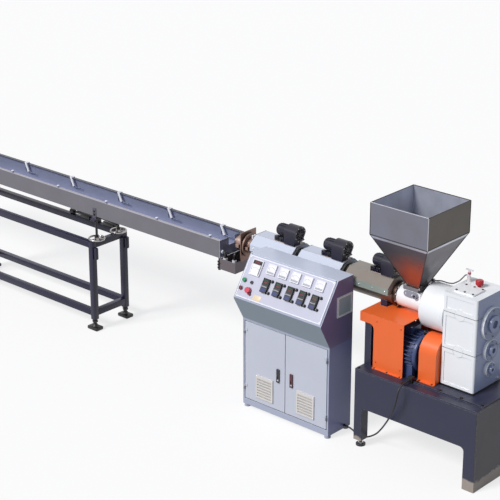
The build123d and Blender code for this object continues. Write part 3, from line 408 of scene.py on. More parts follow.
def metal(name, colour, roughness=0.35, along=(1.0, 60.0, 60.0), depth=0.6, tint=None,
          tintShare=0.0, dust=0.25, contrast=0.10, grooves=0.00015, wear=0.0, zones=None,
          metallic=1.0, orangeReflection=None):
    material, tree, shader = startMaterial(name)
    shader.inputs["Metallic"].default_value = metallic
    shade = useGroup(tree, mottle, Color=zonedColour(tree, colour, zones), Contrast=contrast,
                     Scale=plate["mottle"])["Color"]
    grain = useGroup(tree, brushedGrain, Along=along, Depth=depth)
    if tint:
        cloud = noiseNode(tree, objectPlace(tree), *plate["cloud"])
        shade = mixColour(tree, rangeNode(tree, cloud, *plate["cloudRange"], 0.0, tintShare),
                          shade, srgb(tint))
    if orangeReflection:
        shade = paintOrangeReflection(tree, shade, orangeReflection)
    if wear:
        edge = useGroup(tree, edgeWear, Width=plate["edgeWidth"], Amount=wear,
                        Scale=plate["edgeScale"])["Edge"]
        shade = mixColour(tree, times(tree, edge, plate["edgeShare"]), shade,
                          srgb(plate["edge"]))
    dirt = useGroup(tree, grime, Amount=dust, Scale=plate["grime"],
                    Splash_Height=plate["splash"])["Mask"]
    shade = mixColour(tree, dirt, shade, srgb(plate["dust"]))
    rough = rangeNode(tree, grain["Grain"], *plate["grain"], roughness - plate["smoother"],
                      roughness + plate["rougher"])
    rough = plus(tree, rough, times(tree, dirt, plate["dirtRough"]), clamp=True)
    dress(tree, shader, shade, rough, grain["Height"], grooves)
    return material


def plastic(name, colour, roughness=0.4, contrast=0.05, dust=0.2, zones=None):
    material, tree, shader = startMaterial(name)
    base = useGroup(tree, mottle, Color=zonedColour(tree, colour, zones), Contrast=contrast,
                    Scale=mould["mottle"])
    dirt = useGroup(tree, grime, Amount=dust, Scale=mould["grime"],
                    Splash_Height=mould["splash"])["Mask"]
    rough = rangeNode(tree, base["Value"], *mould["value"], roughness - mould["smoother"],
                      roughness + mould["rougher"])
    skin = useGroup(tree, sprayedSkin, Scale=mould["skin"])
    dress(tree, shader, mixColour(tree, dirt, base["Color"], srgb(mould["dust"])), rough,
          skin["Height"], mould["texture"])
    return material


vents = {"Y": (-0.3640, -0.3554), "Z": (0.102, 0.270)}
handles = {"Y": (-0.3660, -0.3554), "Z": (0.273, 0.371)}
sideFace = (-0.4126, -0.4112)
hood3 = {"X": (-0.52, -0.13)}
whiteCoat = {"colour": "f0f1f3", "roughness": 0.32, "dust": 0.3, "wear": 0.25, "under": "9fa3a8",
             "dustColour": "c4c0b8", "contrast": 0.03, "peel": 0.0007}
paints = {
    "basePaint": dict(colour="20223b", roughness=0.42, dust=0.3, dustColour="6d6a70",
                      under="8a8c90", splash=0.13, worn={"height": 0.075, "colour": "9d9288"},
                      # painted shade: the base's right end is painted darker, standing in for shade
                      # on the face turned from the light
                      zones=[("1c1a28", {"X": (0.688, 0.72)})]),
    "legPaint": dict(colour="25263b", roughness=0.42, dust=0.3, dustColour="6c6a6c", wear=0.3,
                     zones=[("141419", {"X": (-0.30, 0.0), "Z": (-0.01, 0.055)})]),
    "motorPaint": dict(colour="36456f", roughness=0.30, wear=0.12),
    "orangePaint": dict(colour="ee6a2c", roughness=0.32, under="7d3a1e", dustColour="c98b64",
                        contrast=0.05),
    "casePaint": whiteCoat,
    "gearPaint": dict(whiteCoat, zones=[
        # painted shade: the gearbox's right end face is painted blue-grey for the shade on it; the
        # two dark bands below are the case seams
        ("a0abca", {"X": (0.5535, 0.60)}),
        ("4a4d55", {"Z": (0.8182, 0.8212), "X": (0.30, 0.56)}),
        ("4a4d55", {"Z": (1.0592, 1.0622), "X": (0.30, 0.56)})]),
    # painted shade: the bearing covers are white, with their outer faces painted blue-grey for the
    # shade on the gearbox's right end
    "endPaint": dict(colour="f4f5f8", roughness=0.30, dust=0.1, wear=0.2, contrast=0.05, zones=[
        ("7f8cae", {"X": (0.5752, 0.5890)}), ("94a0c0", {"X": (0.5890, 0.60)})]),
    "capPaint": dict(colour="8f929e", roughness=0.36, dust=0.3, wear=0.4),
    "guardPaint": dict(colour="c9cfdf", roughness=0.30, dust=0.25, wear=0.25, contrast=0.05,
                       dustColour="b5b3ad", zones=[
                           ("82786f", {**hood3, "Y": (-0.13, 0.13)}),
                           ("8f9a92", {**hood3, "Z": (1.0, 1.061), "Y": (-0.13, -0.11)})]),
    "blackPaint": dict(colour="120f26", roughness=0.30, dust=0.14, wear=0.25, under="4a4c52",
                       dustColour="5a5658", contrast=0.12,
                       # painted highlight: a cream band along the blower plate's front edge,
                       # standing in for the light on that edge
                       zones=[("b9a8a0", {"Z": (1.11, 1.1185)})]),
    "cabinetPaint": dict(colour="a8aec2", roughness=0.33, wear=0.25, contrast=0.05, zones=[
        # painted light: the front frame is painted lighter for the light falling on the front
        ("c3c6d2", {"X": (-1.1365, -0.4305), "Y": (-0.3665, -0.34), "Z": (0.06, 0.640)}),
        # painted shadow: the band under the console is darker, the overhang's shadow
        ("7b8792", {"Z": (0.6525, 0.8290), "Y": (-0.46, -0.3555)}),
        # painted light: the top is painted lighter, lit from above
        ("c9cfe0", {"Z": (1.0895, 1.10), "Y": (-0.285, -0.12)}),
        # painted shade: the right side is darker, purple-grey higher up, for the shade on that side
        ("888ebc", {"X": sideFace}),
        ("84789f", {"X": sideFace, "Z": (0.648, 1.10)}),
        ("d9d4cf", {"X": (-1.037, -0.885), **vents}),
        ("d9d4cf", {"X": (-0.682, -0.530), **vents}),
        ("26222c", {"X": (-0.853, -0.829), **handles}),
        ("57222c", {"X": (-0.738, -0.714), **handles}),
        ("fafcfc", {"X": (-0.4118, -0.4030), "Y": (-0.291, -0.139), "Z": (0.840, 0.982)}),
        ("b4c2c6", {"X": (-0.4118, -0.4070), "Y": (-0.278, -0.152), "Z": (0.853, 0.969)})]),
    "standPaint": dict(colour="131030", roughness=0.36, dust=0.25, under="7a7b84",
                       dustColour="4c4a66", zones=[
                           ("0e0e14", {"Y": (-0.126, 0.126), "Z": (0.715, 0.912)}),
                           ("4f4d5c", {"Y": (-0.140, -0.1235), "Z": (0.866, 0.97)})]),
    "panelPaint": dict(colour="f1f1f6", roughness=0.30, dust=0.1, wear=0.15, contrast=0.03),
    "plateGrey": dict(colour="c0c0d0", roughness=0.34, dust=0.1, wear=0.1, contrast=0.05),
}
metals = {
    "hopperSteel": dict(
        colour="7d7f8d", roughness=0.32, along=(40, 40, 1.5), depth=0.45, tint="6f6864",
        tintShare=0.35, wear=0.4, dust=0.15, metallic=0.55, zones=[
            # painted reflection: the inside of the bin is painted pale blue-grey, standing in for
            # the light it reflects
            ("d2d6e4", {"X": (-0.2165, 0.2165), "Y": (-0.2165, 0.2165), "Z": (1.42, 1.66)}),
            # painted shade: the right face is painted darker; the cone is darker than the bin
            ("5a554f", {"X": (0.2185, 0.24)}), ("524f5a", {"Z": (1.05, 1.4195)})],
        # painted reflection: orange from the covers below, painted on the cone's front
        orangeReflection={"height": (1.42, 1.26), "fades": (("Y", -0.03, -0.05), ("X", -0.15, 0.0)),
               "colour": "bd6140", "share": 0.82}),
    "weldSteel": dict(colour="b9bac2", roughness=0.32, along=(30, 30, 30), dust=0.1),
    "darkSteel": dict(colour="4b4745", roughness=0.42, tint="2e2825", tintShare=0.5),
    "bandCopper": dict(colour="a58f87", roughness=0.34, tint="7b4a38", tintShare=0.55, dust=0.2),
    "machinedSteel": dict(colour="85848a", roughness=0.3, along=(2, 40, 40), wear=0.4, zones=[
        # painted reflection: the feed flange is painted brown, standing in for what the bare steel
        # reflects
        ("4f3d35", {"X": (-0.145, -0.1165), "Z": (0.9, 1.1)})]),
    "brightSteel": dict(colour="d8d8dd", roughness=0.24, along=(20, 20, 20), dust=0.1,
                        grooves=0.00008),
    "heaterSteel": dict(colour="8f8780", roughness=0.42, tint="5e4637", tintShare=0.6),
    "dieSteel": dict(colour="8f7a73", roughness=0.4, tint="5d4034", tintShare=0.7, dust=0.3),
    "troughSteel": dict(
        colour="77747b", roughness=0.34, along=(0.6, 50, 50), contrast=0.12, wear=0.5, dust=0.15,
        metallic=0.5, zones=[
            ("9da2b9", {"Y": (-0.1212, 0.1212), "X": (-5.6, -1.579)}),
            # painted light and shade: the near lip is painted lighter, the far lip darker
            ("aaa6b0", {"Z": (1.0172, 1.03), "Y": (-0.13, 0.0)}),
            ("4c4c58", {"Z": (1.0172, 1.03), "Y": (0.0, 0.13)}),
            ("6a6266", {"X": (-1.5785, -1.43), "Z": (0.80, 0.893)})]),
    "guideSteel": dict(colour="8d93a8", roughness=0.25, metallic=0.8, dust=0.1),
    "chrome": dict(colour="a9a5a4", roughness=0.2, depth=0.3, dust=0.15, contrast=0.05,
                   grooves=0.00004),
}
plastics = {
    "pipeBlack": dict(colour="151518", roughness=0.42),
    "whitePlastic": dict(colour="eceaf0", roughness=0.38, dust=0.08),
    "bezelWhite": dict(colour="eceaf0", roughness=0.38, dust=0.06,
                       zones=[("15151b", {"X": (-0.985, -0.40), "Z": (0.8, 1.002)})]),
    "instrumentBlack": dict(colour="121217", roughness=0.3, dust=0.1),
    "buttonBlack": dict(colour="18181c", roughness=0.3),
    "buttonGreen": dict(colour="1f8a55", roughness=0.25, dust=0.05),
    "buttonRed": dict(colour="d04a5e", roughness=0.25, dust=0.05),
    "screenBlue": dict(colour="2f3a6e", roughness=0.3, dust=0.05),
    "darkRed": dict(colour="6a1626", roughness=0.3, dust=0.05),
    "ventDark": dict(colour="8d8a88", roughness=0.7, dust=0.3),
    "creamPlate": dict(colour="e3cfae", dust=0.05),
    "keyGrey": dict(colour="a9abb2", roughness=0.35, dust=0.05),
    "fittingRed": dict(colour="b01626", roughness=0.25, dust=0.08,
                       zones=[("e9e5e2", {"X": (0.31, 0.36), "Y": (0.05, 0.10)})]),
    "leadRubber": dict(colour="14131c", roughness=0.5, dust=0.25),
}
finishes = {name: make(name, **values)
            for make, table in ((paint, paints), (metal, metals), (plastic, plastics))
            for name, values in table.items()}
print("materials are made")

nodeFinish = {
    "basePaint": "base_deck base_side_plates base_end_pedestal barrel_pedestal",
    "legPaint": "base_left_legs",
    "motorPaint": "main_motor",
    "orangePaint": "motor_cover coupling_guard",
    "gearPaint": "gearbox_lower_case gearbox_middle_case gearbox_top_case gearbox_lid",
    "casePaint": "thrust_housing feed_housing",
    "endPaint": "bearing_covers",
    "capPaint": "jacket_cover",
    "guardPaint": "barrel_guard_1 barrel_guard_2 barrel_guard_3",
    "blackPaint": "blower_1 blower_2 blower_3",
    "cabinetPaint": "cabinet_body cabinet_door_left cabinet_door_right",
    "panelPaint": "control_panel",
    "standPaint": "stand_legs stand_long_rails stand_cross_rails trough_saddle_right "
                  "trough_saddle_left",
    "hopperSteel": "hopper_cone hopper_bin",
    "machinedSteel": "shaft_coupling hopper_throat slide_gate barrel door_hinges",
    "heaterSteel": "barrel_heaters",
    "dieSteel": "die_head die_plate",
    "troughSteel": "trough_channel drip_box",
    "guideSteel": "profile_guides",
    "chrome": "handwheel_right_front handwheel_right_back handwheel_left_front "
              "handwheel_left_back",
    "pipeBlack": "drain_pipe motor_lead_glands",
    "bezelWhite": "panel_instruments",
    "buttonBlack": "panel_buttons",
    "fittingRed": "oil_fittings",
    "leadRubber": "motor_lead",
}
edgeRounding = {"width": 0.0012, "segments": 2, "mergeWithin": 0.00002, "sharpFrom": 32}


def makeJoinedFaces():
    group = bpy.data.node_groups.new("joinedFaces", "GeometryNodeTree")
    for way in ("INPUT", "OUTPUT"):
        group.interface.new_socket("Geometry", in_out=way, socket_type="NodeSocketGeometry")
    given, merge, smooth, sharp, result, angle, above = (group.nodes.new(kind) for kind in (
        "NodeGroupInput", "GeometryNodeMergeByDistance", "GeometryNodeSetShadeSmooth",
        "GeometryNodeSetShadeSmooth", "NodeGroupOutput", "GeometryNodeInputMeshEdgeAngle",
        "FunctionNodeCompare"))
    merge.inputs["Distance"].default_value = edgeRounding["mergeWithin"]
    sharp.domain = "EDGE"
    sharp.inputs["Shade Smooth"].default_value = False
    above.data_type, above.operation = "FLOAT", "GREATER_THAN"
    above.inputs["B"].default_value = math.radians(edgeRounding["sharpFrom"])
    chain = (given, merge, smooth, sharp, result)
    for near, far in zip(chain, chain[1:]):
        group.links.new(near.outputs["Geometry"], far.inputs["Geometry"])
    group.links.new(angle.outputs["Unsigned Angle"], above.inputs["A"])
    group.links.new(above.outputs["Result"], sharp.inputs["Selection"])
    return group


joinedFaces = makeJoinedFaces()


def softenEdges(obj, width):
    obj.modifiers.new("joinedFaces", "NODES").node_group = joinedFaces
    bevel = obj.modifiers.new("roundedEdges", "BEVEL")
    bevel.width = width
    bevel.segments = edgeRounding["segments"]
    bevel.limit_method = "ANGLE"
    bevel.angle_limit = math.radians(edgeRounding["sharpFrom"])
    bevel.harden_normals = True


for finish, names in nodeFinish.items():
    for name in names.split():
        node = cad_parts[name]
        node.data.materials.clear()
        node.data.materials.append(finishes[finish])
        softenEdges(node, edgeRounding["width"])
print("solids have their finishes")

# Small parts. Each shape goes into a mesh that counts from the throat.
upward, toFront, toBack, toRight, toLeft = (0, 0, 1), (0, -1, 0), (0, 1, 0), (1, 0, 0), (-1, 0, 0)
bothSides = (-1, 1)


def boxInto(bm, low, high, rounding=0.0):
    verts = bmesh.ops.create_cube(bm, size=1.0)["verts"]
    bmesh.ops.scale(bm, vec=[b - a for a, b in zip(low, high)], verts=verts)
    bmesh.ops.translate(bm, vec=[(a + b) / 2 for a, b in zip(low, high)], verts=verts)
    if rounding:
        edges = list({edge for vert in verts for edge in vert.link_edges})
        bmesh.ops.bevel(bm, geom=edges, offset=rounding, segments=2, profile=0.5,
                        affect="EDGES", material=-1)


def rodInto(bm, start, end, radius, sides=20, endRadius=None):
    start, end = Vector(start), Vector(end)
    along = end - start
    turned = along.to_track_quat("Z", "Y").to_matrix().to_4x4()
    bmesh.ops.create_cone(bm, cap_ends=True, segments=sides, radius1=radius,
                          radius2=radius if endRadius is None else endRadius,
                          depth=along.length, matrix=Matrix.Translation((start + end) / 2) @ turned)


def circle(centre, across, other, radius, count):
    turns = [2 * math.pi * i / count for i in range(count)]
    return [centre + radius * (math.cos(t) * across + math.sin(t) * other) for t in turns]


def pipeInto(bm, points, radius, sides, closed=False):
    points = [Vector(p) for p in points]
    count = len(points)
    across = None
    rings = []
    for i, point in enumerate(points):
        before = points[i - 1] if closed or i else point
        after = points[(i + 1) % count] if closed or i < count - 1 else point
        tangent = (after - before).normalized()
        across = across or tangent.orthogonal()
        across = (across - tangent * across.dot(tangent)).normalized()
        rings.append([bm.verts.new(p) for p in circle(point, across, tangent.cross(across),
                                                      radius, sides)])
    for near, far in list(zip(rings, rings[1:])) + ([(rings[-1], rings[0])] if closed else []):
        for i in range(sides):
            j = (i + 1) % sides
            bm.faces.new((near[i], near[j], far[j], far[i]))
    if not closed:
        bm.faces.new(rings[0][::-1])
        bm.faces.new(rings[-1])


def ringInto(bm, centre, axis, radius, wire, sides=40, wireSides=8):
    axis = Vector(axis).normalized()
    across = axis.orthogonal().normalized()
    pipeInto(bm, circle(Vector(centre), across, axis.cross(across), radius, sides), wire,
             wireSides, closed=True)


bolt = {"sunk": 0.0005, "seat": 0.22, "washer": 1.25, "washerSides": 18, "bite": 0.0002,
        "head": 0.62, "crown": (0.6, 0.72, 0.86, 0.7), "crownSides": 12}


def boltInto(bm, point, outward, size, washer=True):
    point, outward = Vector(point), Vector(outward).normalized()
    base = point - outward * bolt["sunk"]
    seat = base
    if washer:
        seat = point + outward * size * bolt["seat"]
        rodInto(bm, base, seat, size * bolt["washer"], bolt["washerSides"])
    rodInto(bm, seat - outward * bolt["bite"], seat + outward * size * bolt["head"], size, 6)
    start, end, wide, narrow = (share * size for share in bolt["crown"])
    rodInto(bm, seat + outward * start, seat + outward * end, wide, bolt["crownSides"], narrow)


def bent(points, reach, steps=5):
    points = [Vector(p) for p in points]
    path = [points[0]]
    for before, corner, after in zip(points, points[1:], points[2:]):
        start = corner + (before - corner).normalized() * reach
        end = corner + (after - corner).normalized() * reach
        for step in range(steps + 1):
            t = step / steps
            path.append((1 - t) ** 2 * start + 2 * t * (1 - t) * corner + t * t * end)
    return path + [points[-1]]


def roundX(x, y, z, radius, count, first=0.0):
    turns = [math.radians(first + 360 * i / count) for i in range(count)]
    return [(x, y + radius * math.cos(t), z + radius * math.sin(t)) for t in turns]


def archInto(bm, span, y, z, radius, foot, step):
    turns = [math.radians(t) for t in range(0, 181, step)]
    outline = [(y + radius * math.cos(t), z + radius * math.sin(t)) for t in turns]
    outline += [(y - radius, foot), (y + radius, foot)]
    near, far = ([bm.verts.new((x, *point)) for point in outline] for x in span)
    bm.faces.new(near)
    bm.faces.new(far[::-1])
    for i in range(len(outline)):
        j = (i + 1) % len(outline)
        bm.faces.new((near[i], near[j], far[j], far[i]))


shapers = {"boxes": boxInto, "rods": rodInto, "pipes": pipeInto, "rings": ringInto,
           "bolts": boltInto, "arches": archInto}


def addPiece(name, finish, slot, soft=0.0006, body="root", at=None, **shapes):
    bm = bmesh.new()
    for kind, rows in shapes.items():
        for row in rows:
            shapers[kind](bm, *row)
    bm.transform(Matrix.Translation(throat) @ (at or Matrix()))
    bmesh.ops.recalc_face_normals(bm, faces=bm.faces)
    mesh = bpy.data.meshes.new(name)
    bm.to_mesh(mesh)
    bm.free()
    mesh.materials.append(finishes[finish])
    piece = link(name, mesh)
    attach(piece, body)
    softenEdges(piece, soft)
    return piece


def addBolts(name, bolts, finish="brightSteel", slot="machined_steel", body="root"):
    addPiece(name, finish, slot, 0.0003, body, bolts=bolts)


# Gearbox
gear = {
    "right": 0.554, "seams": (0.819, 1.060), "lidTop": 1.198, "lidBolt": 0.007,
    "lidBolts": [(x, y) for x in (0.362, 0.4225, 0.483) for y in (-0.100, 0.004)],
    "covers": ((1.0, 0.105, 0.0060), (0.824, 0.070, 0.0050), (0.694, 0.048, 0.0038)),
    "coverFace": 0.576, "coverCircle": 0.8, "endBolt": 0.006, "endSide": 0.132, "endRise": 0.022,
    "pocketX": 0.428, "cap": (-0.141, -0.1497, 0.0376), "studStep": 0.016, "studY": 0.1452,
    "studHalf": 0.027, "studRadius": 0.003, "nut": (0.006, 0.0042), "nutFeet": (-0.020, 0.014),
    "oilPipe": [(0.333, 0.075, 1.2285), (0.308, 0.075, 1.2285), (0.266, 0.070, 1.176),
                (0.226, 0.062, 1.149), (0.190, 0.058, 1.144), (0.140, 0.056, 1.146),
                (0.092, 0.050, 1.136), (0.062, 0.030, 1.094)],
    "oilBend": 0.012, "oilRadius": 0.0042,
    "tapRods": [((0.333, 0.075, 1.2175), (0.333, 0.075, 1.262), 0.0075, 16),
                ((0.317, 0.075, 1.2285), (0.329, 0.075, 1.2285), 0.0085, 6)],
    "tapBar": ((0.307, 0.070, 1.262), (0.359, 0.080, 1.270), 0.002),
    "tapRing": ((0.333, 0.075, 1.238), (0.333, 0.075, 1.250), 0.0105, 16),
    # a black strip at the gearbox's foot, a painted shadow
    "shadowStrip": ((0.3005, -0.1520, 0.5622), (0.5560, 0.1520, 0.5730), 0.001),
    "plug": ((0.554, 0.110, 0.590), (0.566, 0.110, 0.590), 0.012, 6),
}


def addGearboxParts():
    addBolts("lidBolts", [((x, y, gear["lidTop"]), upward, gear["lidBolt"], False)
                          for x, y in gear["lidBolts"]], "darkSteel")
    bolts = [(point, toRight, size) for height, radius, size in gear["covers"]
             for point in roundX(gear["coverFace"], 0, height, gear["coverCircle"] * radius, 6, 30)]
    bolts += [((gear["right"], side * gear["endSide"], seam + way * gear["endRise"]), toRight,
               gear["endBolt"]) for seam in gear["seams"] for side in bothSides
              for way in bothSides]
    addBolts("gearboxBolts", bolts, "capPaint", "cover_grey")
    x, y = gear["pocketX"], gear["studY"]
    inner, face, radius = gear["cap"]
    addPiece("pocketCaps", "gearPaint", "case_white", 0.0004, rods=[
        ((x, inner, seam), (x, face, seam), radius, 64) for seam in gear["seams"]])
    studs = []
    for seam in gear["seams"]:
        for stud in (x - gear["studStep"], x + gear["studStep"]):
            studs.append(((stud, y, seam - gear["studHalf"]), (stud, y, seam + gear["studHalf"]),
                          gear["studRadius"], 10))
            height, radius = gear["nut"]
            studs += [((stud, y, seam + foot), (stud, y, seam + foot + height), radius, 6)
                      for foot in gear["nutFeet"]]
    addPiece("gearboxStuds", "casePaint", "case_white", 0.0003, rods=studs)
    addPiece("oilPipe", "machinedSteel", "machined_steel", 0.0003, pipes=[
        (bent(gear["oilPipe"], gear["oilBend"]), gear["oilRadius"], 10)])
    addPiece("fillerTap", "whitePlastic", "instrument_white", rods=gear["tapRods"],
             boxes=[gear["tapBar"]])
    addPiece("fillerRing", "buttonRed", "fitting_red", rods=[gear["tapRing"]])
    # painted shadow: a thin black strip round the gearbox's foot stands in for the shadow under it
    addPiece("gearboxShadowStrip", "instrumentBlack", "pipe_black", 0.0004, boxes=[gear["shadowStrip"]])
    addPiece("drainPlug", "brightSteel", "machined_steel", 0.0004, rods=[gear["plug"]])


addGearboxParts()

# Hopper, throat and feed housing
hopper = {
    "corners": ((-1, -1), (1, -1), (1, 1), (-1, 1)), "litCorner": (1, -1),
    "half": 0.220, "low": 0.046, "coneBottom": 1.100, "coneTop": 1.444, "top": 1.655,
    "bead": (0.0024, 8), "rim": (0.0028, 8), "inset": 0.002, "lift": 0.001,
    "flange": 0.055, "flangeBolt": 0.005, "feedCircle": (-0.117, 0, 1.0, 0.0765, 10, 18),
    "feedBolt": 0.0045, "capScrews": ((-0.038, -0.070, 1.051), (0.010, -0.070, 1.051)),
    "capScrew": 0.0042,
    "clamp": [((0.060, -0.060, 1.080), (0.070, -0.052, 1.128), 0.0065, 14, 0.0085),
              ((0.060, -0.068, 1.084), (0.060, -0.046, 1.084), 0.009, 16)],
}


def addHopperParts():
    half, low, bead, lift = hopper["half"], hopper["low"], hopper["bead"], hopper["lift"]
    foot, knee, top = hopper["coneBottom"], hopper["coneTop"], hopper["top"] - lift
    # painted highlight: the welds at the lit corner and along the front rim get the bright weld
    # finish, the other beads dark steel
    lit, plain = [], []
    for sx, sy in hopper["corners"]:
        (lit if (sx, sy) == hopper["litCorner"] else plain).append(
            ([(sx * half, sy * half, knee), (sx * half, sy * half, top)], *bead))
        plain.append(([(sx * low, sy * low, foot), (sx * half, sy * half, knee)], *bead))
    for height, reach, wire, seen in ((knee, half, bead, False), (foot + lift, low, bead, False),
                                      (top, half - hopper["inset"], hopper["rim"], True)):
        points = [(sx * reach, sy * reach, height) for sx, sy in hopper["corners"]]
        sides = [([start, end], *wire) for start, end in zip(points, points[1:] + points[:1])]
        (lit if seen else plain).append(sides[0])
        plain += sides[1:]
    addPiece("hopperHighlightWelds", "weldSteel", "hopper_steel", 0.0002, pipes=lit)
    addPiece("hopperWelds", "darkSteel", "hopper_steel", 0.0002, pipes=plain)
    bolts = [((sx * hopper["flange"], sy * hopper["flange"], foot), upward, hopper["flangeBolt"])
             for sx, sy in hopper["corners"]]
    bolts += [(point, toRight, hopper["feedBolt"]) for point in roundX(*hopper["feedCircle"])]
    bolts += [(point, toFront, hopper["capScrew"]) for point in hopper["capScrews"]]
    addBolts("feedBolts", bolts)
    addPiece("gateClamp", "instrumentBlack", "pipe_black", rods=hopper["clamp"])


addHopperParts()

# Barrel, guards, blowers and die. Blower places count from the guard's right end.
hoods = {
    "spans": ((-1.313, -0.953), (-0.908, -0.548), (-0.503, -0.143)),
    "side": 0.115, "screwHeight": 1.038, "screwShares": (0.08, 0.36, 0.64, 0.92), "screw": 0.0045,
    "feet": ((-0.114, 0.043), (-0.020, -0.043), (-0.020, 0.043)), "footTop": 1.118,
    "footBolt": 0.0042, "scroll": (-0.012, 0, 1.186, 0.0474, 8, 22.5), "scrollScrew": 0.0024,
    "seam": ((-0.115, 1.018), (-0.115, 1.061), (-0.054, 1.113), (0.054, 1.113), (0.115, 1.061),
             (0.115, 1.018)),
    "seamIn": 0.0005, "seamWire": (0.0016, 6),
    "boxes": (-0.177, -0.135), "lid": (0.0175, (-0.0505, -0.0255), (1.1465, 1.1505), 0.001),
    "gland": ((-0.050, 1.131), (-0.058, 1.131), 0.0065, 16),
}
heaters = {
    "gaps": (-0.9305, -0.5255), "box": (0.019, (-0.108, -0.040), (1.004, 1.070), 0.003),
    "route": ((-0.006, 1.070), (-0.010, 1.106), (-0.056, 1.112), (-0.108, 1.068),
              (-0.110, 1.010)),
    "bend": 0.014, "hose": (0.0088, 14), "pitch": 0.0055, "rib": (0.0086, 0.0016, 14),
    "nut": ((-0.006, 1.070), (-0.006, 1.082), 0.0145, 6),
}
die = {
    "circle": (-1.412, 0, 1.0, 0.071, 6), "bolt": 0.006,
    "plateBolts": [(-1.432, y, z) for y in (-0.064, 0.064) for z in (0.925, 1.084)],
    "bands": ((-1.478, -1.442, 0.0595), (-1.392, -1.362, 0.0555), (-1.352, -1.322, 0.0555)),
    "sides": 48, "bead": 0.0012, "beadIn": 0.006, "earIn": 0.003, "ear": (-0.020, 0.006),
    "earHeight": (0.988, 1.012), "earRounding": 0.002,
    "posts": [(x, y) for x in (-1.460, -1.377, -1.337) for y in (-0.010, 0.012)],
    "post": (1.050, 1.080, 0.0065, 14),
}


def boxAt(x, half, across, height, rounding):
    return (x - half, across[0], height[0]), (x + half, across[1], height[1]), rounding


def rodAt(x, start, end, *rest):
    return ((x, *start), (x, *end), *rest)


def addBarrelParts():
    bolts, seams, lids, glands = [], [], [], []
    for left, right in hoods["spans"]:
        bolts += [((left + share * (right - left), side * hoods["side"], hoods["screwHeight"]),
                   (0, side, 0), hoods["screw"]) for share in hoods["screwShares"]
                  for side in bothSides]
        bolts += [((right + x, y, hoods["footTop"]), upward, hoods["footBolt"])
                  for x, y in hoods["feet"]]
        bolts += [((right + x, y, z), toRight, hoods["scrollScrew"])
                  for x, y, z in roundX(*hoods["scroll"])]
        seams += [([(x, y, z) for y, z in hoods["seam"]], *hoods["seamWire"])
                  for x in (left + hoods["seamIn"], right - hoods["seamIn"])]
        lids += [boxAt(right + x, *hoods["lid"]) for x in hoods["boxes"]]
        glands += [rodAt(right + x, *hoods["gland"]) for x in hoods["boxes"]]
    addBolts("barrelBolts", bolts)
    addPiece("guardSeams", "darkSteel", "guard_paint", 0.0002, pipes=seams)
    addPiece("blowerLids", "instrumentBlack", "blower_black", 0.0005, boxes=lids, rods=glands)
    hoses, ribs = [], []
    for x in heaters["gaps"]:
        route = bent([(x, *point) for point in heaters["route"]], heaters["bend"])
        hoses.append((route, *heaters["hose"]))
        for before, after in zip(route, route[1:]):
            steps = max(1, round((after - before).length / heaters["pitch"]))
            ribs += [(before.lerp(after, (step + 0.5) / steps), after - before, *heaters["rib"])
                     for step in range(steps)]
    addPiece("heaterConduits", "pipeBlack", "blower_black", 0.0002, pipes=hoses, rings=ribs)
    addPiece("heaterTerminals", "instrumentBlack", "blower_black",
             boxes=[boxAt(x, *heaters["box"]) for x in heaters["gaps"]],
             rods=[rodAt(x, *heaters["nut"]) for x in heaters["gaps"]])
    addBolts("dieBolts", [(point, toLeft, die["bolt"])
                          for point in roundX(*die["circle"]) + die["plateBolts"]],
             "darkSteel", "die_steel")
    bands, beads, ears = [], [], []
    for low, high, radius in die["bands"]:
        bands.append(((low, 0, 1.0), (high, 0, 1.0), radius, die["sides"]))
        beads += [((x, 0, 1.0), toRight, radius, die["bead"], die["sides"])
                  for x in (low + die["beadIn"], high - die["beadIn"])]
        outer, inner = die["ear"]
        bottom, top = die["earHeight"]
        ears.append(((low + die["earIn"], outer - radius, bottom),
                     (high - die["earIn"], inner - radius, top), die["earRounding"]))
    addPiece("dieHeaters", "bandCopper", "die_steel", 0.0005, rods=bands, rings=beads, boxes=ears)
    bottom, top, *size = die["post"]
    addPiece("heaterPosts", "whitePlastic", "instrument_white",
             rods=[((x, y, bottom), (x, y, top), *size) for x, y in die["posts"]])


addBarrelParts()

